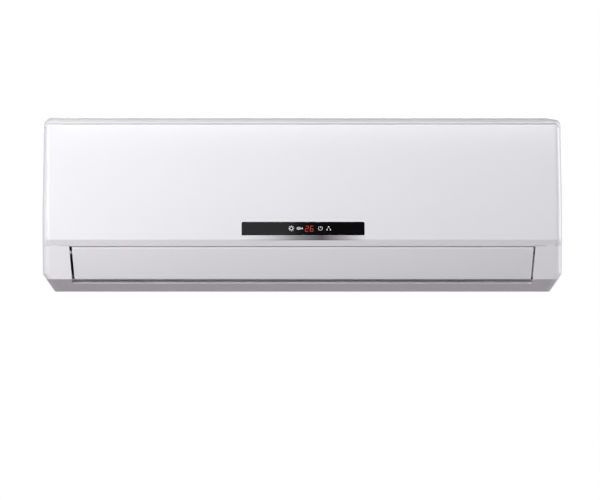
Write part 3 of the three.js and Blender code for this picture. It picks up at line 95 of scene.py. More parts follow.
UNIT_LOW, UNIT_HIGH = (corner / MM for corner in CAD_BOX)
HALF_WIDTH, TOP, BOTTOM, FRONT = UNIT_HIGH.x, UNIT_HIGH.z, UNIT_LOW.z, UNIT_LOW.y
PANEL_LOW, PANEL_HIGH = node_box("front_panel")
LOUVER_LOW = node_box("louver")[0]
LENS_LOW, LENS_HIGH = node_box("display_window")
TRIM_LOW, TRIM_HIGH = node_box("trim_strip")
GRILLE_LOW, GRILLE_HIGH = node_box("top_inlet_grille")
FILTER_LOW, FILTER_HIGH = node_box("filter_frame_right")
CASE_BACK = node_box("front_case")[1].y
CASE_SCREW = sum(node_box("case_screw_right"), Vector()) / 2
BUTTON = sum(node_box("manual_button"), Vector()) / 2
COVER_LOW, COVER_HIGH = node_box("wiring_cover")
JOINT_PLACE = {joint["name"]: Vector(joint["pos_m"]) / MM for joint in frame["joints"] if "pos_m" in joint}

# ---------------------------------------------------------------- sizes of the mouldings

FIT = 0.3  # between two pieces that touch
PROUD = 1  # how far a cutter reaches past what it cuts
BEHIND = 5  # y where a cutter that opens the back ends, behind the wall plane
ARC_STEP = math.radians(9)  # between two points of a rounding
EDGE_TURNS = [k * math.pi / 8 for k in range(5)]  # a quarter turn over a rounded edge
SHARP = math.radians(32)  # edges that bend more than this stay sharp

SEAT = FRONT + 14  # face of the case behind the panel
UNDERSIDE_REAR = FRONT + 70  # y where the slanted underside ends
CHIN_INSET, CHIN_RISE = 17.3, 27.5  # the outline's lower corners, from the side and from the underside
CHIN_ROUND, FOOT_ROUND = 6, 2  # roundings of the lower corners' upper and lower ends
DRAFT = 2.6  # the sides lean in by this much towards the top

CREASE = PANEL_LOW.z + 9
SOFT_CREASE = 18  # the case's borders round off the crease that the panel shows sharp
FOREMOST = PANEL_LOW.z + 53  # height where the crowned face stands furthest forward
BULGE_RADIUS = 1310
PANEL_HALF = HALF_WIDTH - 7.5
PANEL_EDGE = PANEL_HALF - 0.15
DRIP = 1.25  # the thin lip under the panel's lower edge

LIP = (FRONT + 19.7, BOTTOM + 19)  # y, z of the edge under the outlet
LIP_DROP = 2.0  # the rounded lip under the outlet sits this far below the louver's opening
LIP_RADIUS = 1.1
LIP_WALL = (0.2, 1.7)  # y of the thin wall above the lip, from the lip's middle
LIP_SUNK = 0.5  # the lip's ends are sunk in the cheeks by this much
OUTLET_TOP = PANEL_LOW.z - 0.6
OUTLET_BOTTOM = LIP[1] - 2.9
OUTLET_FRONT = FRONT + 7
OUTLET_ROUND = 12  # the case's rounding at the outlet's upper edge
OUTLET_HALF = HALF_WIDTH - 40.4
OUTLET_SLANT = 4.4  # the outlet's foot is narrower by this much at each end
OUTLET_FOOT = OUTLET_HALF - OUTLET_SLANT
HEADROOM = 6.3  # above the outlet, for the louver's upper edge

INLET_HALF = HALF_WIDTH - 23
INLET_FRONT, INLET_REAR = FRONT + 22, -22
RAIL_HALF, RAIL_HEIGHT = 1.5, 6.3  # the bars that carry the filters
SLOT_HALF = INLET_HALF - 4.5
SLOT_MIDDLE = 1.5  # half of the bar between the two filter slots
SLOT_FIT = 0.15  # the filter grips fill their slots closely
GRILLE_FLOOR = FILTER_HIGH.z + FIT

LENS_HALF = TRIM_HIGH.x + FIT
LENS_SHIFT = 1.2  # the display sits a little to the right of the middle
LENS_BOTTOM, LENS_TOP = LENS_LOW.z + 1.6, LENS_HIGH.z - 3.4
TRIM_BOTTOM, TRIM_TOP = TRIM_LOW.z - 1, TRIM_HIGH.z - 1  # the strip starts at the crease
TRIM_DEPTH = 1.0
WINDOW_ROUNDS, LENS_ROUNDS, FLANGE_ROUNDS = (1.6, 2.4), (1.4, 2.2), (1.4, 1.4)  # lower and upper corners


# ---------------------------------------------------------------- sizes and colours a user would change


class CaseSizes(bpy.types.PropertyGroup):
    wall: FloatProperty(
        name="Wall", description="Thickness of the moulded case", default=0.0025, unit="LENGTH")
    edge_radius: FloatProperty(
        name="Edge radius", description="Rounding of the case's upright front edges", default=0.012,
        unit="LENGTH")
    top_corner: FloatProperty(
        name="Top corner", description="Rounding of the top corners seen from the front", default=0.013,
        unit="LENGTH")
    nose_radius: FloatProperty(
        name="Nose radius", description="Rounding between the front and the top", default=0.0093,
        unit="LENGTH")
    rib_pitch: FloatProperty(
        name="Grille rib pitch", description="Distance between two ribs of the top grille", default=0.0048,
        unit="LENGTH")


class PanelSizes(bpy.types.PropertyGroup):
    wall: FloatProperty(
        name="Wall", description="Thickness of the front panel", default=0.0025, unit="LENGTH")
    edge_radius: FloatProperty(
        name="Edge radius", description="Rounding of the panel's side edges", default=0.0004,
        unit="LENGTH")
    brow_radius: FloatProperty(
        name="Brow radius", description="Rounding of the panel's upper and lower edges", default=0.0011,
        unit="LENGTH")
    reading: StringProperty(name="Reading", description="Number on the display", default="26")


class CoilSizes(bpy.types.PropertyGroup):
    fin_pitch: FloatProperty(
        name="Fin pitch", description="Distance between fins, wider than the real 1.4 mm so that it shows",
        default=0.0028, unit="LENGTH")
    tube_radius: FloatProperty(
        name="Tube radius", description="Outside radius of the copper tubes", default=0.0035,
        unit="LENGTH")
    tube_pitch: FloatProperty(
        name="Tube pitch", description="Distance between tubes along a coil", default=0.019,
        unit="LENGTH")
    net_pitch: FloatProperty(
        name="Net pitch", description="Distance between threads, wider than the real 1 mm so that it shows",
        default=0.0030, unit="LENGTH")
    net_thread: FloatProperty(
        name="Net thread", description="Width of a thread of the filter net", default=0.00045,
        unit="LENGTH")


class StageSizes(bpy.types.PropertyGroup):
    camera_distance: FloatProperty(
        name="Camera distance", description="Camera to the unit's front", default=14.0, unit="LENGTH")
    floor_drop: FloatProperty(
        name="Floor drop", description="Floor below the unit's underside", default=0.8, unit="LENGTH")
    floor_radius: FloatProperty(
        name="Floor radius", description="Radius of the floor", default=3.0, unit="LENGTH")


class Colours(bpy.types.PropertyGroup):
    case_light: FloatVectorProperty(
        name="Case, light", description="Lighter tone of the case", default=linear("#ececef"), size=4,
        subtype="COLOR")
    case_dark: FloatVectorProperty(
        name="Case, dark", description="Darker tone of the case", default=linear("#e8e8ec"), size=4,
        subtype="COLOR")
    panel_light: FloatVectorProperty(
        name="Panel, light", description="Lighter tone of the panel", default=linear("#f3f4f7"), size=4,
        subtype="COLOR")
    panel_dark: FloatVectorProperty(
        name="Panel, dark", description="Darker tone of the panel", default=linear("#f0f1f5"), size=4,
        subtype="COLOR")
    louver_light: FloatVectorProperty(
        name="Louver, light", description="Lighter tone of the louver", default=linear("#e2e2e6"), size=4,
        subtype="COLOR")
    louver_dark: FloatVectorProperty(
        name="Louver, dark", description="Darker tone of the louver", default=linear("#dedee3"), size=4,
        subtype="COLOR")
    number: FloatVectorProperty(
        name="Number", description="Colour of the lit number", default=linear("#d8402c"), size=4,
        subtype="COLOR")
    signs: FloatVectorProperty(
        name="Signs", description="Colour of the lit signs", default=linear("#dfe4ea"), size=4,
        subtype="COLOR")


# ---------------------------------------------------------------- meshes


def linked(name, data):
    """A new object in the scene."""
    made = bpy.data.objects.new(name, data)
    bpy.context.scene.collection.objects.link(made)
    return made


def mesh_object(name, points, faces):
    """A mesh in millimetres as an object in metres, with its faces pointing out."""
    mesh = bpy.data.meshes.new(name)
    mesh.from_pydata([Vector(point) * MM for point in points], [], faces)
    work = bmesh.new()
    work.from_mesh(mesh)
    bmesh.ops.recalc_face_normals(work, faces=work.faces)
    work.to_mesh(mesh)
    work.free()
    return linked(name, mesh)


def loft(name, rings):
    """A closed body through rings of as many points each, capped at both ends."""
    count = len(rings[0])
    points = [point for ring in rings for point in ring]
    faces = [tuple(reversed(range(count))), tuple(range(len(points) - count, len(points)))]
    for level in range(len(rings) - 1):
        base = level * count
        for k in range(count):
            after = (k + 1) % count
            faces.append((base + k, base + after, base + count + after, base + count + k))
    return mesh_object(name, points, faces)


def along_x(name, outline, span):
    """A (y, z) outline drawn out along X."""
    return loft(name, [[(x, y, z) for y, z in outline] for x in span])


def along_y(name, outline, span):
    """An (x, z) outline drawn out along Y."""
    return loft(name, [[(x, y, z) for x, z in outline] for y in span])


def boxes(name, spans):
    """Boxes, each between three spans, as one object."""
    points, faces = [], []
    for xs, ys, zs in spans:
        base = len(points)
        points += [(x, y, z) for z in zs for y in ys for x in xs]
        faces += [tuple(base + k for k in face) for face in
                  ((0, 2, 3, 1), (4, 5, 7, 6), (0, 1, 5, 4), (2, 6, 7, 3), (0, 4, 6, 2), (1, 3, 7, 5))]
    return mesh_object(name, points, faces)


def block(name, xs, ys, zs):
    """A box between three spans, for cuts and plain bars."""
    return boxes(name, [(xs, ys, zs)])


def about(middle, half):
    """A span about its middle."""
    return middle - half, middle + half


def sideways(side, *reaches):
    """A span of x between reaches from the middle, on the left (-1) or the right (1)."""
    return sorted(side * reach for reach in reaches)


def circle(centre, radius, steps=32, start=0.0, turn=2 * math.pi):
    """Points round a circle, without the last one of a full turn."""
    count = steps if turn == 2 * math.pi else steps + 1
    angles = [start + turn * k / steps for k in range(count)]
    return [(centre[0] + radius * math.cos(angle), centre[1] + radius * math.sin(angle)) for angle in angles]


def turned(name, profile, centre, steps=40):
    """A body turned about an axis along X: profile points are (x, radius), centre is (y, z)."""
    return loft(name, [[(x, y, z) for y, z in circle(centre, radius, steps)] for x, radius in profile])


def tube(name, path, radius, steps=14):
    """A round tube along a path of points."""
    path = [Vector(point) for point in path]
    rings, side = [], None
    for k, here in enumerate(path):
        way = (path[min(k + 1, len(path) - 1)] - path[max(k - 1, 0)]).normalized()
        side = (side - way * side.dot(way) if side else way.orthogonal()).normalized()
        up = way.cross(side)
        rings.append([here + side * u + up * v for u, v in circle((0, 0), radius, steps)])
    return loft(name, rings)


def rounded(corners):
    """Corners (u, v, radius) as points, with an arc at each corner that has a radius."""
    points = []
    for i, corner in enumerate(corners):
        here = Vector(corner[:2])
        radius = corner[2] if len(corner) > 2 else 0
        if not radius:
            points.append(tuple(here))
            continue
        before = (Vector(corners[i - 1][:2]) - here).normalized()
        after = (Vector(corners[(i + 1) % len(corners)][:2]) - here).normalized()
        half = before.angle(after) / 2
        side = 1 if after.x * before.y - after.y * before.x > 0 else -1
        centre = here + (before + after).normalized() * radius / math.sin(half)
        start = here + before * radius / math.tan(half) - centre
        turn = math.pi - 2 * half
        steps = max(2, round(turn / ARC_STEP))
        for k in range(steps + 1):
            angle = side * turn * k / steps
            points.append((
                centre.x + start.x * math.cos(angle) - start.y * math.sin(angle),
                centre.y + start.x * math.sin(angle) + start.y * math.cos(angle),
            ))
    return points


def apply_modifiers(body):
    """Replaces a body's mesh by what its modifiers make of it."""
    evaluated = body.evaluated_get(bpy.context.evaluated_depsgraph_get())
    mesh = bpy.data.meshes.new_from_object(evaluated)
    body.modifiers.clear()
    body.data = mesh
    return body


def shaped(body, operation, tools):
    """Joins or cuts a body with closed tools and deletes them."""
    for tool in tools:
        modifier = body.modifiers.new(tool.name, "BOOLEAN")
        modifier.operation = operation
        modifier.solver = "EXACT"
        modifier.object = tool
    apply_modifiers(body)
    for tool in tools:
        bpy.data.objects.remove(tool)
    return body


def cut(body, *tools):
    """Cuts closed tools out of a body."""
    return shaped(body, "DIFFERENCE", tools)


def join(body, *tools):
    """Melts closed tools into a body."""
    return shaped(body, "UNION", tools)


def softened(body):
    """Smooth shading with the flat faces kept flat and the sharp edges kept sharp."""
    body.data.shade_smooth()
    body.data.set_sharp_from_angle(angle=SHARP)
    modifier = body.modifiers.new("normals", "WEIGHTED_NORMAL")
    modifier.keep_sharp = True
    return apply_modifiers(body)


def gathered(name, parts):
    """Several bodies as one object."""
    work = bmesh.new()
    for part in parts:
        work.from_mesh(part.data)
    mesh = bpy.data.meshes.new(name)
    work.to_mesh(mesh)
    work.free()
    for part in parts:
        bpy.data.objects.remove(part)
    return linked(name, mesh)


def placed(body, slot, carrier, *replaced, material=None):
    """Gives a body the material of its slot, or the material given, and seats it on the CAD body that carries it.
    """
    body.data.materials.clear()
    body.data.materials.append(material or finish(slot))
    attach(body, carrier)
    if replaced:
        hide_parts(*replaced)


# ---------------------------------------------------------------- shape of the front


def face_y(z):
    """The y of the crowned face at a height."""
    return FRONT + (z - FOREMOST) ** 2 / (2 * BULGE_RADIUS)


def lower_face_y(z):
    """The y of the straight face below the panel."""
    return OUTLET_FRONT + (LIP[0] - OUTLET_FRONT) * (OUTLET_TOP - z) / (OUTLET_TOP - LIP[1])


def between(points, v):
    """The u at a height v on a line of (u, v) points that rises in v."""
    for (u0, v0), (u1, v1) in zip(points, points[1:]):
        if v0 <= v <= v1 and v1 > v0:
            return u0 + (u1 - u0) * (v - v0) / (v1 - v0)
    return points[0][0] if v < points[0][1] else points[-1][0]


def crowned(low, high, steps=14):
    """Points (y, z) of the crowned face between two heights."""
    heights = [low + (high - low) * k / steps for k in range(steps + 1)]
    return [(face_y(z), z) for z in heights]


def plan_ring(half, front, rear, radius, z, steps=10):
    """A level section of a body with two rounded front edges, from the rear left to the rear right."""
    left = circle((-half + radius, front + radius), radius, steps, math.pi, math.pi / 2)
    right = circle((half - radius, front + radius), radius, steps, 1.5 * math.pi, math.pi / 2)
    return [(x, y, z) for x, y in [(-half, rear), *left, *right, (half, rear)]]


def levels(*lines, least=0.15):
    """The heights of all the points of rising lines, without those that nearly repeat."""
    heights = []
    for v in sorted(v for line in lines for _, v in line):
        if not heights or v - heights[-1] > least:
            heights.append(v)
    return heights


# ---------------------------------------------------------------- materials

DRIFT = 160  # length over which a moulding's tone drifts


def tone(colour):
    """A hex colour, or one of the colours that a user sets, as linear RGBA."""
    return linear(colour) if colour[0] == "#" else getattr(bpy.context.scene.indoor_colours, colour)


def per_mm(size):
    """The scale of a texture whose features are this many millimetres across."""
    return 1 / (size * MM)


def add_node(tree, kind, inputs=None, **settings):
    """Adds a node with its settings, values and links."""
    made = tree.nodes.new(kind)
    for name, value in settings.items():
        setattr(made, name, value)
    for key, value in (inputs or {}).items():
        if isinstance(value, bpy.types.NodeSocket):
            tree.links.new(value, made.inputs[key])
        else:
            made.inputs[key].default_value = value
    return made


def start_material(name):
    """An empty material, its node tree and the object's own coordinates in it."""
    material = bpy.data.materials.new(name)
    material.use_nodes = True
    tree = material.node_tree
    tree.nodes.clear()
    return material, tree, add_node(tree, "ShaderNodeTexCoord").outputs["Object"]


def end_material(material, tree, inputs, relief=None, **settings):
    """Adds the shader and the output. Relief is a pattern, its strength and its depth in millimetres."""
    if relief:
        height, strength, depth = relief
        bump = add_node(tree, "ShaderNodeBump",
                        {"Height": height, "Strength": strength, "Distance": depth * MM}, **settings)
        inputs["Normal"] = bump.outputs["Normal"]
    shader = add_node(tree, "ShaderNodeBsdfPrincipled", inputs)
    add_node(tree, "ShaderNodeOutputMaterial", {"Surface": shader.outputs["BSDF"]})
    return material


def plastic(name, light, dark, roughness, grain, depth, ior=1.54, coat=0.0):
    """A moulded plastic: a slow drift between two tones, and the fine relief of the mould's skin.

    A mould's texture is some 0.1 mm across. Its grain is drawn coarser, so that it shows.
    """
    material, tree, place = start_material(name)
    drift = add_node(tree, "ShaderNodeTexNoise", {"Vector": place, "Scale": per_mm(DRIFT), "Detail": 2.0})
    colour = add_node(tree, "ShaderNodeMix",
                      {"Factor": drift.outputs["Fac"], "A": tone(light), "B": tone(dark)}, data_type="RGBA")
    skin = add_node(tree, "ShaderNodeTexNoise", {"Vector": place, "Scale": per_mm(grain), "Detail": 3.0})
    wear = add_node(tree, "ShaderNodeMapRange",
                    {"Value": skin.outputs["Fac"], "To Min": roughness * 0.9, "To Max": roughness * 1.1})
    inputs = {"Base Color": colour.outputs["Result"], "Roughness": wear.outputs["Result"], "IOR": ior,
              "Coat Weight": coat, "Coat Roughness": 0.08}
    return end_material(material, tree, inputs, (skin.outputs["Fac"], 0.6, depth))


def metal(name, light, dark, roughness, stretch, grain, depth):
    """A metal with drawn or rolled lines: noise stretched along one way, in tone, roughness and relief.

    Real lines are some 0.1 mm apart. They are drawn coarser, so that they show.
    """
    material, tree, place = start_material(name)
    lines = add_node(tree, "ShaderNodeMapping", {"Vector": place, "Scale": stretch})
    drawn = add_node(tree, "ShaderNodeTexNoise",
                     {"Vector": lines.outputs["Vector"], "Scale": per_mm(grain), "Detail": 4.0})
    colour = add_node(tree, "ShaderNodeMix",
                      {"Factor": drawn.outputs["Fac"], "A": tone(light), "B": tone(dark)}, data_type="RGBA")
    rough = add_node(tree, "ShaderNodeMapRange",
                     {"Value": drawn.outputs["Fac"], "To Min": roughness * 0.75, "To Max": roughness * 1.25})
    inputs = {"Base Color": colour.outputs["Result"], "Metallic": 1.0, "Roughness": rough.outputs["Result"]}
    return end_material(material, tree, inputs, (drawn.outputs["Fac"], 0.5, depth))


def smoked_polycarbonate():
    """Smoked polycarbonate, polished: black, with a sharp but faint reflection."""
    material, tree, place = start_material("smoked_polycarbonate")
    ripple = add_node(tree, "ShaderNodeTexNoise", {"Vector": place, "Scale": per_mm(40)})
    colour = add_node(tree, "ShaderNodeMix",
                      {"Factor": ripple.outputs["Fac"], "A": tone("#100f11"), "B": tone("#0a090b")},
                      data_type="RGBA")
    inputs = {"Base Color": colour.outputs["Result"], "Roughness": 0.03, "IOR": 1.585}
    return end_material(material, tree, inputs, (ripple.outputs["Fac"], 0.1, 0.01))


REFLECTION_FADE = ((0.0, "#f2f2f4"), (0.22, "#dbdbdf"), (0.45, "#959599"), (0.66, "#5f5d63"), (0.85, "#b6b5ba"),
        (1.0, "#ebebef"))  # share of the strip's length from its left end, and the colour of the painted reflection there


def foil_with_painted_reflection():
    """Vacuum-metallised foil with a painted reflection: dark bright metal near the middle, white at both ends."""
    material, tree, place = start_material("vacuum_metallised_fade")
    axes = add_node(tree, "ShaderNodeSeparateXYZ", {"Vector": place})
    end = TRIM_HIGH.x * MM
    share = add_node(tree, "ShaderNodeMapRange",
                     {"Value": axes.outputs["X"], "From Min": -end, "From Max": end})
    # The ramp paints the strip's reflection into its colour: dark near the middle, white at both ends.
    reflection_ramp = add_node(tree, "ShaderNodeValToRGB", {"Fac": share.outputs["Result"]})
    stops = reflection_ramp.color_ramp.elements
    for k, (position, colour) in enumerate(REFLECTION_FADE):
        stop = stops[k] if k < len(stops) else stops.new(position)
        stop.position = position
        stop.color = tone(colour)
    grain = add_node(tree, "ShaderNodeTexNoise", {"Vector": place, "Scale": per_mm(1.5)})
    inputs = {"Base Color": reflection_ramp.outputs["Color"], "Metallic": 0.3, "Roughness": 0.3}
    return end_material(material, tree, inputs, (grain.outputs["Fac"], 0.2, 0.005))


def polystyrene_foam():
    """Expanded polystyrene skinned with plastic: off-white, with the faint cells of its 3 mm beads."""
    material, tree, place = start_material("beaded_polystyrene_foam")
    beads = add_node(tree, "ShaderNodeTexVoronoi", {"Vector": place, "Scale": per_mm(3.2)})
    colour = add_node(tree, "ShaderNodeMix",
                      {"Factor": beads.outputs["Distance"], "A": tone("#e9e9e7"), "B": tone("#dcdcda")},
                      data_type="RGBA")
    inputs = {"Base Color": colour.outputs["Result"], "Roughness": 0.75, "IOR": 1.5}
    return end_material(material, tree, inputs, (beads.outputs["Distance"], 0.5, 0.15), invert=True)


def solder_mask():
    """Epoxy glass board under green solder mask, with lighter tracks of copper beneath it."""
    material, tree, place = start_material("green_solder_mask")
    tracks = add_node(tree, "ShaderNodeTexBrick", {
        "Vector": place, "Color1": tone("#24593a"), "Color2": tone("#1f4f33"), "Mortar": tone("#3f7d55"),
        "Scale": per_mm(9), "Mortar Size": 0.06})
    inputs = {"Base Color": tracks.outputs["Color"], "Roughness": 0.3, "IOR": 1.5}
    return end_material(material, tree, inputs, (tracks.outputs["Fac"], 0.4, 0.05))


def lit(name, colour, strength):
    """A light guide lit from behind: an even glow with a faint unevenness."""
    material, tree, place = start_material(name)
    patch = add_node(tree, "ShaderNodeTexNoise", {"Vector": place, "Scale": per_mm(1.6)})
    level = add_node(tree, "ShaderNodeMapRange",
                     {"Value": patch.outputs["Fac"], "To Min": strength * 0.85, "To Max": strength * 1.1})
    return end_material(material, tree, {
        "Base Color": tone(colour), "Roughness": 0.4, "Emission Color": tone(colour),
        "Emission Strength": level.outputs["Result"]})


FINISHES = {  # plastics: name, two tones, roughness, grain and depth in mm, IOR, coat
    # ABS moulded in a fine-textured tool: satin white, with a soft and broad highlight.
    "case_white": (plastic, "moulded_white_abs", "case_light", "case_dark", 0.34, 0.9, 0.006),
    # ABS moulded in a polished tool: a cool white with a clear, even gloss.
    "panel_white": (plastic, "polished_white_abs", "panel_light", "panel_dark", 0.2, 4.0, 0.004, 1.54, 0.25),
    # The same ABS in a textured tool: a shade greyer and more matt than the case.
    "louver_white": (plastic, "textured_white_abs", "louver_light", "louver_dark", 0.4, 0.7, 0.01),
    # High-impact polystyrene from a spark-eroded tool: plain light grey, matt.
    "chassis_grey": (plastic, "moulded_grey_polystyrene", "#cfd0d3", "#c6c8cb", 0.55, 0.8, 0.02, 1.59),
    # Moulded polypropylene, dark grey, so that the vanes don't show in the open outlet.
    "vane_grey": (plastic, "moulded_dark_polypropylene", "#39393c", "#323235", 0.5, 0.8, 0.02, 1.49),
    # Glass-filled styrene: near black, with a faint fibrous skin.
    "fan_black": (plastic, "glass_filled_black_styrene", "#232326", "#2c2c30", 0.48, 0.5, 0.03, 1.57),
    # Moulded nitrile rubber: black and quite matt.
    "rubber_black": (plastic, "moulded_black_rubber", "#1a1a1b", "#222223", 0.8, 0.6, 0.03, 1.52),
    # Woven polypropylene thread: mid grey.
    "net_grey": (plastic, "woven_polypropylene", "#6c7278", "#5a6066", 0.6, 0.5, 0.02, 1.49),
    # Metals: name, two tones, roughness, stretch along X, Y and Z, grain and depth in mm.
    # Zinc-plated steel sheet: cool grey with faint rolling lines.
    "steel_zinc": (metal, "zinc_plated_steel", "#b4b8bb", "#9ea3a7", 0.36, (0.2, 3.0, 3.0), 3.0, 0.01),
    # Rolled aluminium fin stock: bright, soft grey, slightly brushed.
    "coil_aluminium": (metal, "rolled_aluminium_fin", "#c9cdd0", "#b3b8bc", 0.38, (3.0, 3.0, 0.4), 2.0, 0.01),
    # Drawn copper tube, a little dulled by handling.
    "pipe_copper": (metal, "drawn_copper", "#c9855c", "#b06a45", 0.28, (0.2, 2.0, 2.0), 4.0, 0.01),
    # Turned brass with fine tool marks.
    "nut_brass": (metal, "turned_brass", "#c9a552", "#b08d41", 0.3, (4.0, 0.6, 0.6), 1.2, 0.02),
    "lens_smoke": (smoked_polycarbonate,), "trim_bright": (foil_with_painted_reflection,),
    "pan_foam": (polystyrene_foam,), "board_green": (solder_mask,),
}
made_finishes = {}


def finish(slot):
    """The material of a slot, made once."""
    if slot not in made_finishes:
        make, *settings = FINISHES[slot]
        made_finishes[slot] = make(*settings)
    return made_finishes[slot]


# ---------------------------------------------------------------- front case

COVER_LAP = 5  # the wiring cover laps over its opening by this much
BUTTON_HOLE, SCREW_HOLE = 4.4, 1.9  # radii
FOOT_HALF = HALF_WIDTH - 21.7  # half the width that is open at the bottom


def half_outline(sizes):
    """The case's half outline seen from the front, rising in z."""
    return rounded([
        (0, BOTTOM), (HALF_WIDTH - CHIN_INSET, BOTTOM, FOOT_ROUND),
        (HALF_WIDTH, BOTTOM + CHIN_RISE, CHIN_ROUND), (HALF_WIDTH, FOREMOST),
        (HALF_WIDTH - DRAFT, TOP, sizes.top_corner / MM), (0, TOP),
    ])[1:-1]


def side_profile(sizes):
    """The case's side profile, rising in z."""
    profile = rounded([
        (UNDERSIDE_REAR, BOTTOM), (*LIP, 2), (OUTLET_FRONT, OUTLET_TOP, OUTLET_ROUND),
        (face_y(CREASE), CREASE, SOFT_CREASE), (face_y(FOREMOST), FOREMOST),
        (face_y(PANEL_HIGH.z), TOP, sizes.nose_radius / MM), (CASE_BACK, TOP),
    ])
    start = profile.index(next(point for point in profile if abs(point[1] - FOREMOST) < 0.01))
    shoulder = next(k for k, point in enumerate(profile) if k > start and point[1] > PANEL_HIGH.z - 1)
    crown = crowned(CREASE + SOFT_CREASE / 3, PANEL_HIGH.z - 1)
    below = [point for point in profile[:start] if point[1] < crown[0][1] - 0.1]
    return below + crown + profile[shoulder:-1]


def case_shell(sizes):
    """The case's outer skin, lofted through level sections."""
    profile, outline = side_profile(sizes), half_outline(sizes)
    return loft("front_case_shell", [
        plan_ring(between(outline, z), between(profile, z), CASE_BACK, sizes.edge_radius / MM, z)
        for z in levels(profile, outline)
    ])


def case_hollow(sizes):
    """The space inside the case, open at the back."""
    wall = sizes.wall / MM
    inside = [
        (UNDERSIDE_REAR, BOTTOM + wall), (LIP[0] + wall, LIP[1] + wall),
        (lower_face_y(OUTLET_TOP) + wall, OUTLET_TOP - 2), (SEAT + wall, OUTLET_TOP + 2),
        (SEAT + wall, TOP - wall),
    ]
    outline = half_outline(sizes)
    bend = sizes.edge_radius / MM - wall
    return loft("case_hollow", [
        plan_ring(between(outline, z) - wall, between(inside, z), BEHIND, bend, z, 6)
        for z in levels(inside, outline) if BOTTOM + wall <= z <= TOP - wall
    ])


def underside_y(z):
    """The y of the slanted underside at a height."""
    return LIP[0] + (UNDERSIDE_REAR - LIP[0]) * (LIP[1] - z) / (LIP[1] - BOTTOM)


def lip_middle():
    """The (y, z) of the middle of the lip's rounded edge."""
    slope = math.atan2(LIP[1] - BOTTOM, UNDERSIDE_REAR - LIP[0])
    low = OUTLET_BOTTOM - LIP_DROP - LIP_RADIUS * (1 + math.cos(slope))
    return underside_y(low) + LIP_RADIUS * math.sin(slope), OUTLET_BOTTOM - LIP_DROP - LIP_RADIUS


def outlet_cuts():
    """What is cut out for the air outlet: its slanted opening, the headroom above it and the lip's front."""
    lip_y, lip_z = lip_middle()
    low, half, foot = OUTLET_BOTTOM - LIP_DROP, OUTLET_HALF, OUTLET_FOOT
    depth = (FRONT - PROUD, UNDERSIDE_REAR)
    return [
        along_y("outlet", [(-foot, low), (foot, low), (half, OUTLET_TOP), (-half, OUTLET_TOP)], depth),
        block("headroom", (-half, half), depth, (OUTLET_TOP - PROUD, OUTLET_TOP + HEADROOM)),
        block("lip_front", (-foot, foot), (FRONT - PROUD, lip_y), (lip_z - LIP_RADIUS, OUTLET_BOTTOM)),
    ]


def case_cuts(wall):
    """What is cut out of the case, besides its hollow."""
    face = (SEAT - PROUD, SEAT + wall + PROUD)
    cuts = [
        block("bottom", (-FOOT_HALF, FOOT_HALF), (UNDERSIDE_REAR, BEHIND),
              (BOTTOM - PROUD, BOTTOM + wall + PROUD)),
        block("pocket", (-PANEL_HALF, PANEL_HALF), (FRONT - PROUD, SEAT),
              (PANEL_LOW.z - FIT, PANEL_HIGH.z + 2 * FIT)),
        block("inlet", (-INLET_HALF, INLET_HALF), (INLET_FRONT, INLET_REAR),
              (FILTER_LOW.z - FIT, TOP + PROUD)),
        block("wiring", (COVER_LOW.x + COVER_LAP, COVER_HIGH.x - COVER_LAP), face,
              (COVER_LOW.z + COVER_LAP, COVER_HIGH.z - COVER_LAP)),
        along_y("button", circle((BUTTON.x, BUTTON.z), BUTTON_HOLE), face),
        *outlet_cuts(),
    ]
    for side in (-1, 1):
        cuts.append(block("slot", sideways(side, SLOT_MIDDLE, SLOT_HALF),
                          (FRONT - PROUD, INLET_FRONT + PROUD),
                          (FILTER_LOW.z - SLOT_FIT, FILTER_HIGH.z + SLOT_FIT)))
        cuts.append(along_y("screw", circle((side * CASE_SCREW.x, CASE_SCREW.z), SCREW_HOLE), face))
    return cuts


def case_rails(wall):
    """The bars under the inlet that carry the filters."""
    low, high = FILTER_LOW.z - FIT - RAIL_HEIGHT, FILTER_LOW.z - FIT
    width, depth = (-INLET_HALF, INLET_HALF), (SEAT + wall - PROUD, INLET_REAR + PROUD)
    places = (-INLET_HALF + 3, -INLET_HALF / 2, 0, INLET_HALF / 2, INLET_HALF - 3)
    return [
        *(block("rail", about(x, RAIL_HALF), depth, (low, high)) for x in places),
        block("rear_bar", width, (INLET_REAR, INLET_REAR + wall), (low, TOP - wall / 2)),
        block("front_bar", width, (SEAT + wall - PROUD, SEAT + 2 * wall), (low, high)),
    ]


class INDOOR_OT_case(bpy.types.Operator):
    """Moulds the front case as one smooth shell."""
    bl_idname = "indoor.case"
    bl_label = "Front Case"

    def execute(self, context):
        sizes = context.scene.indoor_case
        wall = sizes.wall / MM
        shell = cut(case_shell(sizes), case_hollow(sizes))
        cut(join(shell, *case_rails(wall)), *case_cuts(wall))
        lip_y, lip_z = lip_middle()
        span, depth = about(0, OUTLET_FOOT + LIP_SUNK), [lip_y + reach for reach in LIP_WALL]
        lip_wall = block("lip_wall", span, depth, (lip_z, OUTLET_BOTTOM - 2 * FIT))
        join(shell, along_x("lip", circle((lip_y, lip_z), LIP_RADIUS, 20), span), lip_wall)
        placed(softened(shell), "case_white", "root", "front_case")
        return {"FINISHED"}


# ---------------------------------------------------------------- front panel

CASE_BEND = 12.0  # rounding of the case's front edge, which the panel's ends follow
PANEL_BEND = 2.0  # rounding of the panel's crease
PANEL_LAP = 0.3  # share of the brow's rounding that the ends take as well
EAR_RADIUS, PIN_RADIUS = 3.4, 2.0
RIB_PLACES, RIB_SPAN = (-330, -250, -170, 170, 250, 330), (-40, 100)  # x of the ribs, z of their ends
RIB_HALF, RIB_SUNK, RIB_DEPTH = 0.6, -0.4, 2.2  # half thickness, start in the skin, and end behind it


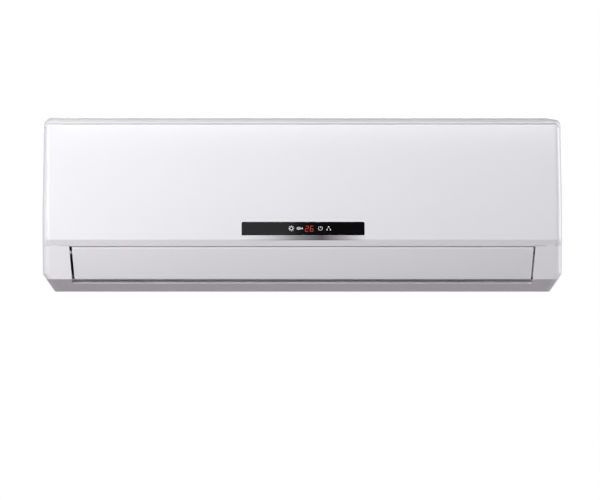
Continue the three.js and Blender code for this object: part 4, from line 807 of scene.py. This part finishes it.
def panel_line(depth=0.0):
    """The panel's outer profile moved back by a depth, rising in z."""
    crease = [
        (lower_face_y(PANEL_LOW.z) + depth, PANEL_LOW.z), (face_y(CREASE) + depth, CREASE, PANEL_BEND),
        (face_y(FOREMOST) + depth, FOREMOST),
    ]
    bevel = [point for point in rounded([*crease, (0, FOREMOST)]) if point[1] < FOREMOST - 1]
    return bevel[:-1] + [(y + depth, z) for y, z in crowned(CREASE + 2, PANEL_HIGH.z)]


def panel_ring(half, front, rear, edge, z, steps=5):
    """A level section of the panel, whose ends follow the case's rounded front edge."""
    centre = HALF_WIDTH - CASE_BEND
    end = math.asin(min((half - edge - centre) / CASE_BEND, 0.99))
    right = [(centre + CASE_BEND * math.sin(turn), front + CASE_BEND * (1 - math.cos(turn)))
             for turn in (end * k / steps for k in range(steps + 1))]
    corner = circle((half - edge, right[-1][1] + edge), edge, steps, 1.5 * math.pi, math.pi / 2)
    side = right + corner[1:] + [(half, rear)]
    return [(-x, y, z) for x, y in reversed(side)] + [(x, y, z) for x, y in side]


def panel_body(sizes):
    """The panel's outer skin with rounded edges all round."""
    edge, brow = sizes.edge_radius / MM, sizes.brow_radius / MM
    low, high = PANEL_LOW.z - DRIP, PANEL_HIGH.z
    line = [(lower_face_y(low), low), *panel_line()]
    heights = [low + brow * (1 - math.cos(turn)) for turn in EDGE_TURNS]
    heights += [z for z in levels(line) if low + brow < z < high - brow]
    heights += [high - brow * (1 - math.sin(turn)) for turn in EDGE_TURNS]
    rings = []
    for z in heights:
        into = max(low + brow - z, z - high + brow, 0) / brow
        back = brow * (1 - math.sqrt(max(1 - into * into, 0)))
        half = PANEL_EDGE - back * PANEL_LAP
        rings.append(panel_ring(half, between(line, z) + back, SEAT - FIT, edge, z))
    return loft("front_panel_shell", rings)


def panel_hollow(wall):
    """The space behind the panel's skin."""
    line = panel_line(wall)
    floor, low, high = PANEL_LOW.z + wall, PANEL_LOW.z - 3, PANEL_HIGH.z + 10
    half = PANEL_EDGE - wall
    return along_x("panel_hollow", [
        (BEHIND, low), (lower_face_y(PANEL_LOW.z) + 2, low), (between(line, floor), floor),
        *(point for point in line if point[1] > floor + 0.3), (line[-1][0], high), (BEHIND, high),
    ], (-half, half))


def drip_cuts():
    """What is cut round the panel's lower lip: behind it for the louver's swing, and beside the outlet."""
    height = (PANEL_LOW.z - DRIP - PROUD, PANEL_LOW.z)
    edge, near = PANEL_EDGE + PROUD, lower_face_y(PANEL_LOW.z) + 1.1
    return [block("behind", (-edge, edge), (near, 0), height)] + [
        block("beside", sideways(side, OUTLET_HALF - FIT, edge), (FRONT - PROUD, 0), height)
        for side in (-1, 1)]


def panel_ears():
    """What is cut from the top corners, so that the ears turn clear about the hinge pins."""
    hinge = JOINT_PLACE["panel_hinge"]
    ear = circle((hinge.y, hinge.z), EAR_RADIUS, 12, 0, math.pi / 2)
    foot = hinge.z - 0.01
    return along_x("ears", [
        (hinge.y + EAR_RADIUS, foot), (BEHIND, foot), (BEHIND, TOP), (hinge.y, TOP), *reversed(ear[:-1]),
    ], (-PANEL_EDGE - PROUD, PANEL_EDGE + PROUD))


def panel_ribs(wall):
    """Stiffening ribs inside the panel, clear of the display board's cover."""
    low, high = RIB_SPAN
    front, rear = ([(y, z) for y, z in panel_line(wall + depth) if low < z < high]
                   for depth in (RIB_SUNK, RIB_DEPTH))
    outline = front + rear[::-1]
    return [along_x("rib", outline, about(x, RIB_HALF)) for x in RIB_PLACES]


def panel_pins():
    """The hinge pins at the panel's top corners."""
    hinge = JOINT_PLACE["panel_hinge"]
    return [turned("pin", [(x, PIN_RADIUS) for x in sideways(side, PANEL_EDGE - PROUD, PANEL_HIGH.x)],
                   (hinge.y, hinge.z), 20) for side in (-1, 1)]


class INDOOR_OT_panel(bpy.types.Operator):
    """Moulds the hinged front panel with its crease, ribs and hinge pins."""
    bl_idname = "indoor.panel"
    bl_label = "Front Panel"

    def execute(self, context):
        sizes = context.scene.indoor_panel
        wall = sizes.wall / MM
        body = cut(panel_body(sizes), panel_hollow(wall), panel_ears(), *drip_cuts())
        join(body, *panel_ribs(wall), *panel_pins())
        window = along_y("window", lens_outline(0, *WINDOW_ROUNDS), (FRONT - PROUD, SEAT - PROUD))
        bed = along_x("trim_bed", bed_outline(), (LENS_SHIFT - LENS_HALF, LENS_SHIFT + LENS_HALF))
        cut(body, window, bed)
        placed(softened(body), "panel_white", "panel", "front_panel")
        return {"FINISHED"}


# ---------------------------------------------------------------- display

LENS_DEPTH, FLANGE_START, FLANGE_END = 3.3, 2.8, 4.0  # behind the panel's face
FLANGE_REACH = 3  # the lens's flange stands out round its window by this much
DIGIT_WIDTH, DIGIT_HEIGHT, DIGIT_STEP = 4.3, 8.0, 7.4
DIGIT_SKEW = 0.12  # digits lean to the right
NUMBER_LEFT, NUMBER_DROP = 4.9, 4.5  # its left edge, and its foot below the signs' middle
SIGNS_DROP = 0.6  # the signs' middle below the window's
BAR_WIDTH, BAR_DEPTH, BAR_GAP, BAR_POINT = 0.55, 0.25, 0.25, 0.3
BAR_STAND = 0.06  # bars stand out of the lens's face by this much
SUN_X, LEAF_X, CLOCK_X = -16.8, -5.4, 27.6
DOTS = ((40.0, 2.4), (37.4, -2.2), (42.8, -2.2))
DIGIT_BARS = {  # a digit's bars on a grid of one by two, lettered clockwise from the top, g in the middle
    "a": ((0, 2), (1, 2)), "b": ((1, 1), (1, 2)), "c": ((1, 0), (1, 1)), "d": ((0, 0), (1, 0)),
    "e": ((0, 0), (0, 1)), "f": ((0, 1), (0, 2)), "g": ((0, 1), (1, 1)),
}
DIGITS = {
    "0": "afbecd", "1": "bc", "2": "abged", "3": "abgcd", "4": "fbgc", "5": "afgcd", "6": "afgecd",
    "7": "abc", "8": "afbgecd", "9": "afbgcd",
}


def bed_outline():
    """The shallow bed in the panel's face that the trim strip lies in."""
    low, high = TRIM_BOTTOM - FIT, TRIM_TOP + FIT
    near, far = ([(y, z) for y, z in panel_line(depth) if low < z < high] for depth in (-1, TRIM_DEPTH + FIT))
    return [(near[0][0], low), *near, (near[-1][0], high), (far[-1][0], high), *far[::-1], (far[0][0], low)]


def trim_body():
    """The trim strip, bent like the panel's face."""
    low, high = TRIM_BOTTOM, TRIM_TOP
    heights = [z for z in levels([(0, low), (0, high)], panel_line()) if low <= z <= high]
    line = [(between(panel_line(), z), z) for z in heights]
    outline = line + [(y + TRIM_DEPTH, z) for y, z in reversed(line)]
    return along_x("trim", outline, (LENS_SHIFT - LENS_HALF + FIT, LENS_SHIFT + LENS_HALF - FIT))


def lens_outline(grow, low_radius, high_radius):
    """The display's outline, grown on all sides, with rounded lower and upper corners."""
    half, low, high = LENS_HALF + grow, LENS_BOTTOM - grow, LENS_TOP + grow
    corners = [(-half, low, low_radius), (half, low, low_radius), (half, high, high_radius),
               (-half, high, high_radius)]
    return [(x + LENS_SHIFT, z) for x, z in rounded(corners)]


def lens_body():
    """The smoked window, flush with the panel's face, on a flange behind it."""
    def slab(name, outline, near, far):
        return loft(name, [[(x, face_y(z) + depth, z) for x, z in outline] for depth in (near, far)])

    return join(slab("lens", lens_outline(-FIT, *LENS_ROUNDS), 0.0, LENS_DEPTH),
                slab("flange", lens_outline(FLANGE_REACH, *FLANGE_ROUNDS), FLANGE_START, FLANGE_END))


def bar(places, width=BAR_WIDTH, skew=DIGIT_SKEW):
    """One bar of a digit or a sign, with pointed ends, between two (x, z) places."""
    (x0, z0), (x1, z1) = places
    along = Vector((x1 - x0, z1 - z0)).normalized()
    aside = Vector((-along.y, along.x)) * width / 2
    point = along * BAR_POINT
    start, end = Vector((x0, z0)) + along * BAR_GAP, Vector((x1, z1)) - along * BAR_GAP
    outline = [start - point, start + aside, end + aside, end + point, end - aside, start - aside]
    middle = (LENS_BOTTOM + LENS_TOP) / 2
    return along_y("bar", [(p.x + skew * (p.y - middle), p.y) for p in outline], (0, BAR_DEPTH))


def number_bars(number, left, low):
    """The lit bars of a number."""
    bars = []
    for place, digit in enumerate(number):
        for letter in DIGITS[digit]:
            bars.append(bar([(left + place * DIGIT_STEP + u * DIGIT_WIDTH, low + v * DIGIT_HEIGHT / 2)
                             for u, v in DIGIT_BARS[letter]]))
    return bars


def ring_bars(centre, radius, start, turn, steps, width):
    """Bars round a circle or an arc."""
    places = circle(centre, radius, steps, start, turn)
    if turn == 2 * math.pi:
        places.append(places[0])
    return [bar(ends, width, 0) for ends in zip(places, places[1:])]


def sign_bars(height):
    """Four plain signs: sun, leaf with an arrow, clock and three dots."""
    def line(width, *ends):
        return bar([(x, height + z) for x, z in ends], width, 0)

    sun, clock, full = (SUN_X, height), (CLOCK_X, height), 2 * math.pi
    bars = ring_bars(sun, 2.5, 0, full, 12, 0.8)
    for k in range(8):
        ray = Vector((math.cos(k * math.pi / 4), math.sin(k * math.pi / 4)))
        bars.append(bar([(sun[0] + ray.x * reach, sun[1] + ray.y * reach) for reach in (3.1, 4.4)], 0.7, 0))
    leaf = [(LEAF_X + 2.8 * u, height + 1.9 * v) for u, v in circle((0, 0), 1, 10)]
    bars += [bar(ends, 0.6, 0) for ends in zip(leaf, leaf[1:] + leaf[:1])]
    bars += [line(0.4, (-7.4, z), (-3.6, z)) for z in (-0.7, 0.5)]
    bars += [line(0.6, (x, z), (0.8, 0)) for x, z in ((-2.6, 0), (-0.8, 1.5), (-0.8, -1.5))]
    bars += ring_bars(clock, 3.0, math.radians(120), math.radians(300), 14, 0.6)
    bars.append(line(0.6, (CLOCK_X, 0.4), (CLOCK_X, 3.4)))
    for x, z in DOTS:
        bars += ring_bars((x, height + z), 0.6, 0, full, 8, 1.1)
    return bars + [line(0.45, (39.3, 1.3), (38.0, -1.0)), line(0.45, (40.7, 1.3), (42.1, -1.0))]


def printed(name, bars):
    """Bars laid on the lens's face, so that they show like lit signs behind it."""
    body = gathered(name, bars)
    for vertex in body.data.vertices:
        vertex.co.y = (face_y(vertex.co.z / MM) - BAR_STAND + vertex.co.y / MM) * MM
    return body


class INDOOR_OT_display(bpy.types.Operator):
    """Makes the smoked window, its lit number and signs, and the metallised trim strip."""
    bl_idname = "indoor.display"
    bl_label = "Display"

    def execute(self, context):
        middle = (LENS_LOW.z + LENS_HIGH.z) / 2 - SIGNS_DROP
        placed(softened(lens_body()), "lens_smoke", "panel", "display_window")
        placed(softened(trim_body()), "trim_bright", "panel", "trim_strip")
        reading = context.scene.indoor_panel.reading
        number = printed("display_number", number_bars(reading, NUMBER_LEFT, middle - NUMBER_DROP))
        placed(number, "lens_smoke", "panel", material=lit("lit_red_segments", "number", 0.3))
        signs = printed("display_signs", sign_bars(middle))
        placed(signs, "lens_smoke", "panel", material=lit("lit_white_signs", "signs", 0.5))
        return {"FINISHED"}


# ---------------------------------------------------------------- louver

LOUVER_SHIFT = 0.7  # the blade sits a little to the right in its opening
LOUVER_GAP = 3.2  # between the blade's ends and the outlet's
LOUVER_TOP_GAP = 1.8  # between the blade's upper edge and the outlet's
LOUVER_THICKNESS, LOUVER_EDGE = 4.0, 1.2
ARM_X = OUTLET_HALF - LOUVER_GAP - OUTLET_SLANT - 4  # outer faces of the end arms
ARM_RADIUS, ARM_WIDTH, LOUVER_PIN, LOUVER_SOCKET = 5.5, 3, 3.0, 2.8
ARM_RISE, ARM_DROP = 7.5, 9.5  # how far the arms reach along the blade, above and below the pivot
MIDDLE_ARMS, MIDDLE_PIN = (-5.8, 2.8), 4.8  # left faces of the two middle arms, half the pin's length


def louver_half(z):
    """Half the blade's length at a height."""
    return OUTLET_HALF - LOUVER_GAP - OUTLET_SLANT * (OUTLET_TOP - z) / (OUTLET_TOP - OUTLET_BOTTOM)


def louver_body():
    """The blade, its face bowed a little, with rounded edges all round."""
    low, high = LOUVER_LOW.z, OUTLET_TOP - LOUVER_TOP_GAP
    rise, run = OUTLET_TOP - LIP[1], LIP[0] - OUTLET_FRONT
    length = math.hypot(run, rise)
    back = Vector((rise / length, run / length)) * LOUVER_THICKNESS
    bow = [(high, 0.0, 2.3), (high - 9, 0.6, 0), (high - 18, 0.8, 0), ((high + low) / 2, 0.8, 0),
           (low + 18, 0.8, 0), (low + 8, 0.6, 0), (low, 0.0, 1.8)]  # height, reach forwards, rounding
    outline = rounded([(lower_face_y(z) - reach, z, radius) for z, reach, radius in bow]
                      + [(lower_face_y(z) + back.x, z + back.y, 1.0) for z in (low, high)])
    middle = Vector((sum(y for y, _ in outline), sum(z for _, z in outline))) / len(outline)
    rings = []
    for side in (-1, 1):
        for turn in EDGE_TURNS:
            shrink, inward = LOUVER_EDGE * (1 - math.cos(turn)), LOUVER_EDGE * (1 - math.sin(turn))
            ring = []
            for y, z in outline:
                away = Vector((y, z)) - middle
                spot = middle + away * max(1 - shrink / max(away.length, 2), 0.2)
                ring.append((side * (louver_half(z) - inward) + LOUVER_SHIFT, spot.x, spot.y))
            rings.append(ring)
    return loft("louver_blade", sorted(rings, key=lambda ring: ring[0][0]))


def louver_arms(pivot):
    """The four arms behind the blade, and the pins of the left and middle ones."""
    inner = lower_face_y(pivot.z) + 1.5
    profile = circle((pivot.y, pivot.z), ARM_RADIUS, 16, -math.pi / 2, math.pi)
    profile += [(inner, pivot.z + ARM_RISE), (inner + 2, pivot.z - ARM_DROP)]
    places = (-ARM_X, *MIDDLE_ARMS, ARM_X - ARM_WIDTH)
    arms = [along_x("arm", profile, (x, x + ARM_WIDTH)) for x in places]
    for start, end in ((LOUVER_LOW.x, -ARM_X + PROUD), about(0, MIDDLE_PIN)):
        arms.append(turned("pin", [(start, LOUVER_PIN), (end, LOUVER_PIN)], (pivot.y, pivot.z), 24))
    return arms


class INDOOR_OT_louver(bpy.types.Operator):
    """Moulds the air louver with its arms and pins."""
    bl_idname = "indoor.louver"
    bl_label = "Air Louver"

    def execute(self, context):
        pivot = JOINT_PLACE["louver_swing"]
        body = join(louver_body(), *louver_arms(pivot))
        socket = [(x, LOUVER_SOCKET) for x in (ARM_X - ARM_WIDTH - PROUD, ARM_X + PROUD)]
        cut(body, turned("socket", socket, (pivot.y, pivot.z), 24))
        placed(softened(body), "case_white", "louver", "louver", material=finish("louver_white"))
        return {"FINISHED"}


# ---------------------------------------------------------------- inlet: grille, filter grips and nets

GRILLE_BAR, GRILLE_BAYS = 5, 10  # width of the bars across the grille, and the bays between them
GRILLE_RIB, GRILLE_FOOT = 0.7, 1.5  # halves of a rib's and a foot's width
RIB_LIFT, RIB_SINK = 0.1, 0.25  # ribs end above the bars' lower faces, and below their upper ones
GRIP_DEPTH = 1.5  # how far the filter grips reach over their frames
WEAVE, CROSSING = 0.2, 0.02  # how far threads stand out, and overlap where they cross


def grille_body(pitch):
    """The top grille: a border, bars across it and fine ribs along it, on the three feet of the CAD's."""
    low, high, bar_width = GRILLE_LOW, GRILLE_HIGH, GRILLE_BAR
    level = (GRILLE_FLOOR, high.z)
    near, far = low.y + bar_width, high.y - bar_width
    step = (high.x - low.x - bar_width) / GRILLE_BAYS
    spans = [((low.x, high.x), ys, level) for ys in ((low.y, near), (far, high.y))]
    spans += [((low.x + k * step, low.x + k * step + bar_width), (near, far), level)
              for k in range(GRILLE_BAYS + 1)]
    room = high.y - low.y - 2 * bar_width
    count = round(room / pitch)
    for y in (near + room * k / count for k in range(1, count)):
        spans.append(((low.x + bar_width, high.x - bar_width), about(y, GRILLE_RIB),
                      (level[0] + RIB_LIFT, level[1] - RIB_SINK)))
    spans += [(about(x, GRILLE_FOOT), (low.y, high.y), (low.z, level[0]))
              for x in (low.x + GRILLE_FOOT, 0, high.x - GRILLE_FOOT)]
    return boxes("top_grille", spans)


def grip_body(side, profile):
    """A filter's white front grip, which carries the case's nose across its slot."""
    low, high = FILTER_LOW.z, FILTER_HIGH.z
    heights = [low + (high - low) * k / 8 for k in range(9)]
    rear = FILTER_LOW.y + GRIP_DEPTH
    outline = [*((between(profile, z), z) for z in heights), (rear, high), (rear, low)]
    return along_x("filter_grip", outline, sideways(side, SLOT_MIDDLE + SLOT_FIT, SLOT_HALF - SLOT_FIT))


def net_body(name, sizes):
    """Threads woven both ways, over the CAD net's rectangle."""
    low, high = node_box(name)
    half, pitch, middle = sizes.net_thread / MM / 2, sizes.net_pitch / MM, (low.z + high.z) / 2

    def threads(start, end):
        return [min(start + half + k * pitch, end - half) for k in range(round((end - start) / pitch) + 1)]

    spans = [((low.x, high.x), about(y, half), (middle - CROSSING, middle + WEAVE))
             for y in threads(low.y, high.y)]
    spans += [(about(x, half), (low.y, high.y), (middle - WEAVE, middle + CROSSING))
              for x in threads(low.x, high.x)]
    return boxes(name + "_weave", spans)


class INDOOR_OT_inlet(bpy.types.Operator):
    """Makes the ribbed top grille, the filters' front grips and their woven nets."""
    bl_idname = "indoor.inlet"
    bl_label = "Air Inlet"

    def execute(self, context):
        sizes = context.scene.indoor_case
        placed(grille_body(sizes.rib_pitch / MM), "case_white", "root", "top_inlet_grille")
        for side, name in ((-1, "left"), (1, "right")):
            placed(softened(grip_body(side, side_profile(sizes))), "case_white", f"filter_{name}")
            net = f"filter_net_{name}"
            placed(net_body(net, context.scene.indoor_coil), "net_grey", f"filter_{name}", net)
        return {"FINISHED"}


# ---------------------------------------------------------------- coils

TUBE_ROWS = (-5.2, 5.2)  # from a coil's middle
FIN_HALF, PLATE_HALF = 0.15, 0.6  # halves of a fin's and an end plate's thickness
TUBE_END, BEND_START = 0.8, 0.6  # past the end plates' middles
BEND_FIT = 0.4  # between the bends and the coil's ends


def side_outline(name):
    """The convex outline of a CAD node seen along X."""
    node = frame["nodes"][name]
    corners = [node.matrix_world @ vertex.co / MM for vertex in node.data.vertices]
    spots = list({(round(corner.y, 2), round(corner.z, 2)) for corner in corners})
    return [spots[k] for k in convex_hull_2d(spots)]


def tube_places(outline, pitch):
    """Two rows of tube places along a slab's outline."""
    pairs = [(Vector(a), Vector(b)) for a, b in zip(outline, outline[1:] + outline[:1])]
    start, end = max(pairs, key=lambda pair: (pair[1] - pair[0]).length)
    way = (end - start).normalized()
    middle = sum((Vector(point) for point in outline), Vector((0, 0))) / len(outline)
    aside = Vector((-way.y, way.x))
    count = max(2, 2 * int((end - start).length / pitch / 2))
    shares = [k - (count - 1) / 2 for k in range(count)]
    return [[middle + way * pitch * share + aside * row for share in shares] for row in TUBE_ROWS]


def coil_pieces(name, sizes):
    """A coil's fins between two end plates, and its copper tubes with their bends."""
    low, high = node_box(name)
    outline = side_outline(name)
    pitch, radius = sizes.tube_pitch / MM, sizes.tube_radius / MM
    room = pitch / 2 + radius + BEND_FIT
    left, right = low.x + room, high.x - room
    count = round((right - left) / (sizes.fin_pitch / MM))
    places = [left + (right - left) * k / count for k in range(count + 1)]
    fins = [along_x("fin", outline, about(x, FIN_HALF)) for x in places[1:-1]]
    fins += [along_x("end_plate", outline, about(x, PLATE_HALF)) for x in (left, right)]
    copper = []
    for row in tube_places(outline, pitch):
        copper += [tube("tube", [(x, *spot) for x in (left - TUBE_END, right + TUBE_END)], radius)
                   for spot in row]
        for end, side, first in ((left, -1, 0), (right, 1, 1)):
            for near, far in zip(row[first::2], row[first + 1::2]):
                middle, reach = (near + far) / 2, (far - near) / 2
                turns = [math.pi * k / 12 for k in range(13)]
                path = [(end + side * (BEND_START + pitch / 2 * math.sin(turn)),
                         *(middle - reach * math.cos(turn))) for turn in turns]
                copper.append(tube("bend", path, radius))
    return gathered(name + "_fins", fins), gathered(name + "_tubes", copper)


class INDOOR_OT_coils(bpy.types.Operator):
    """Makes the three evaporator coils with their fins, tubes and bends."""
    bl_idname = "indoor.coils"
    bl_label = "Evaporator Coils"

    def execute(self, context):
        for name in ("evaporator_front_lower", "evaporator_front_upper", "evaporator_rear"):
            fins, tubes = coil_pieces(name, context.scene.indoor_coil)
            placed(fins, "coil_aluminium", "root", name)
            placed(softened(tubes), "pipe_copper", "root")
        return {"FINISHED"}


# ---------------------------------------------------------------- carried-over nodes


class INDOOR_OT_finishes(bpy.types.Operator):
    """Gives every CAD node its slot's material."""
    bl_idname = "indoor.finishes"
    bl_label = "Finishes"

    def execute(self, context):
        slots = {item["node"]: item["material_slot"] for item in frame["record"]["subparts"]}
        for name, node in frame["nodes"].items():
            node.data.materials.clear()
            node.data.materials.append(finish(slots[name]))
        return {"FINISHED"}


# ---------------------------------------------------------------- stage

PIXEL = 1.521 * MM  # size of a pixel of the picture at the unit's upright front edges
PICTURE_WIDTH, PICTURE_HEIGHT = 600, 500
PICTURE_PLACE = (302.3, 204.7)  # the unit's centre in the picture, from its upper left corner
PICTURE_DEPTH = 12  # the upright edges stand this far behind the unit's front
SENSOR = 36
CARD_X, CARD_Z, CARD_BACK = (-16, 700), (-1400, 400), 600  # the last is its distance behind the camera
DIM_LIGHT, BACK_LIGHT, MIRRORED_LIGHT = 0.06, 0.25, 0.49  # the world's strengths, where white is 1
GLOSSY_GLOW = 0.4  # share of a surface's glow that shows in reflections
FLOOR_STEPS = 96
SOFTBOXES = {  # place in metres, width, height, watts, mirrored by polished pieces
    "front": ((0.4, -4.0, 1.6), 2.0, 1.2, 54.0), "front_mid": ((0.0, -4.0, 0.3), 1.6, 1.2, 25.5, False),
    "left_near": ((-1.3, -1.2, 0.25), 0.8, 0.8, 13.8), "far_right": ((3.0, 0.1, 0.1), 1.0, 1.6, 45.0),
    "rear": ((0.4, 3.0, 2.3), 2.0, 1.4, 72.0),
}


def stage_material(name, colour, roughness, glow=0.0):
    """A matt studio surface with a faint unevenness, whose glow shows only to the eye and in reflections."""
    material, tree, place = start_material(name)
    patch = add_node(tree, "ShaderNodeTexNoise", {"Vector": place, "Scale": 1.5})
    rough = add_node(tree, "ShaderNodeMapRange",
                     {"Value": patch.outputs["Fac"], "To Min": roughness, "To Max": roughness + 0.1})
    inputs = {"Base Color": tone(colour), "Roughness": rough.outputs["Result"], "Specular IOR Level": 0.2,
              "Emission Color": (1, 1, 1, 1)}
    if glow:
        path = add_node(tree, "ShaderNodeLightPath")
        seen = add_node(tree, "ShaderNodeMath", {
            0: path.outputs["Is Glossy Ray"], 1: GLOSSY_GLOW, 2: path.outputs["Is Camera Ray"],
        }, operation="MULTIPLY_ADD")
        level = add_node(tree, "ShaderNodeMath", {0: seen.outputs["Value"], 1: glow}, operation="MULTIPLY")
        inputs["Emission Strength"] = level.outputs["Value"]
    return end_material(material, tree, inputs)


def add_camera(sizes):
    """A long lens square to the front, framed like a catalogue picture."""
    camera = linked("camera", bpy.data.cameras.new("camera"))
    camera.data.sensor_width = SENSOR
    camera.data.lens = SENSOR * sizes.camera_distance / (PICTURE_WIDTH * PIXEL)
    camera.data.clip_end = 100
    camera.location = (
        (PICTURE_WIDTH / 2 - PICTURE_PLACE[0]) * PIXEL, (FRONT + PICTURE_DEPTH) * MM - sizes.camera_distance,
        (PICTURE_PLACE[1] - PICTURE_HEIGHT / 2) * PIXEL)
    camera.rotation_euler = (math.pi / 2, 0, 0)
    bpy.context.scene.camera = camera


def add_softbox(name, place, width, height, power, mirrored=True):
    """A soft rectangular lamp that faces the unit's front; polished pieces may mirror it or not."""
    lamp = linked(name, bpy.data.lights.new(name, "AREA"))
    lamp.data.shape = "RECTANGLE"
    lamp.data.size, lamp.data.size_y = width, height
    lamp.data.energy = power
    lamp.location = place
    way = Vector((0, FRONT * MM, 0)) - Vector(place)
    lamp.rotation_euler = way.to_track_quat("-Z", "Y").to_euler()
    lamp.visible_camera, lamp.visible_glossy = False, mirrored


def add_world():
    """White to the eye, a grey white in reflections, and a faint light that grows towards the back."""
    world = bpy.data.worlds.new("studio")
    world.use_nodes = True
    tree = world.node_tree
    tree.nodes.clear()
    place = add_node(tree, "ShaderNodeTexCoord")
    axes = add_node(tree, "ShaderNodeSeparateXYZ", {"Vector": place.outputs["Generated"]})
    around = add_node(tree, "ShaderNodeMapRange", {
        "Value": axes.outputs["Y"], "From Min": 0.0, "From Max": 1.0, "To Min": DIM_LIGHT,
        "To Max": BACK_LIGHT})
    path = add_node(tree, "ShaderNodeLightPath")
    gloss = add_node(tree, "ShaderNodeMath", {
        0: path.outputs["Is Glossy Ray"], 1: path.outputs["Is Transmission Ray"]}, operation="MAXIMUM")
    level = add_node(tree, "ShaderNodeMix",
                     {"Factor": gloss.outputs["Value"], "A": around.outputs["Result"], "B": MIRRORED_LIGHT})
    strength = add_node(tree, "ShaderNodeMix",
                        {"Factor": path.outputs["Is Camera Ray"], "A": level.outputs["Result"], "B": 1.0})
    light = add_node(tree, "ShaderNodeBackground",
                     {"Color": (1, 1, 1, 1), "Strength": strength.outputs["Result"]})
    add_node(tree, "ShaderNodeOutputWorld", {"Surface": light.outputs["Background"]})
    bpy.context.scene.world = world


def add_card(distance):
    """A black card behind the camera: the display's right half mirrors it."""
    y = (FRONT - CARD_BACK) - distance / MM
    (left, right), (low, high) = CARD_X, CARD_Z
    card = mesh_object("black_card", [(left, y, low), (right, y, low), (right, y, high), (left, y, high)],
                       [(0, 1, 2, 3)])
    # Felt: as black as cloth gets, without any sheen.
    card.data.materials.append(stage_material("black_felt", "#020202", 0.9))
    card.visible_camera = card.visible_diffuse = card.visible_shadow = False


def add_floor(sizes):
    """A round floor below the unit."""
    rim = circle((0, 0), sizes.floor_radius / MM, FLOOR_STEPS)
    level = BOTTOM - sizes.floor_drop / MM
    floor = mesh_object("floor", [(x, y, level) for x, y in rim], [tuple(range(FLOOR_STEPS))])
    # Matt emulsion paint: an even, pale surface that takes the unit's soft shadow.
    floor.data.materials.append(stage_material("pale_matt_paint", "#9e959c", 0.8, 0.6))


class INDOOR_OT_stage(bpy.types.Operator):
    """Sets up the camera, the soft studio light, the floor and the white background."""
    bl_idname = "indoor.stage"
    bl_label = "Stage"

    def execute(self, context):
        sizes = context.scene.indoor_stage
        context.scene.view_settings.view_transform = "Standard"
        add_camera(sizes)
        add_world()
        add_card(sizes.camera_distance)
        for name, settings in SOFTBOXES.items():
            add_softbox(name, *settings)
        add_floor(sizes)
        return {"FINISHED"}


class INDOOR_PT_sidebar(bpy.types.Panel):
    """Lists the unit's pieces, its stage and what a user may change."""
    bl_label = "Indoor Unit"
    bl_space_type = "VIEW_3D"
    bl_region_type = "UI"
    bl_category = "Indoor Unit"

    def draw(self, context):
        for operator in OPERATORS:
            self.layout.operator(operator.bl_idname)
        for settings in SETTINGS:
            group = getattr(context.scene, settings)
            for name in group.bl_rna.properties.keys():
                if name not in ("rna_type", "name"):
                    self.layout.prop(group, name)


SETTINGS = {
    "indoor_case": CaseSizes, "indoor_panel": PanelSizes, "indoor_coil": CoilSizes,
    "indoor_stage": StageSizes, "indoor_colours": Colours,
}
OPERATORS = (
    INDOOR_OT_stage, INDOOR_OT_finishes, INDOOR_OT_case, INDOOR_OT_panel, INDOOR_OT_display, INDOOR_OT_louver,
    INDOOR_OT_inlet, INDOOR_OT_coils,
)


def register():
    """Registers the classes and hangs the settings on the scene."""
    for item in (*SETTINGS.values(), *OPERATORS, INDOOR_PT_sidebar):
        bpy.utils.register_class(item)
    for name, group in SETTINGS.items():
        setattr(bpy.types.Scene, name, PointerProperty(type=group))


def unregister():
    """Takes the settings and the classes out again."""
    for name in SETTINGS:
        delattr(bpy.types.Scene, name)
    for item in (INDOOR_PT_sidebar, *reversed(OPERATORS), *SETTINGS.values()):
        bpy.utils.unregister_class(item)


def main():
    """Makes the whole unit and its stage."""
    register()
    for operator in OPERATORS:
        category, name = operator.bl_idname.split(".")
        getattr(getattr(bpy.ops, category), name)()


if __name__ == "__main__":
    main()
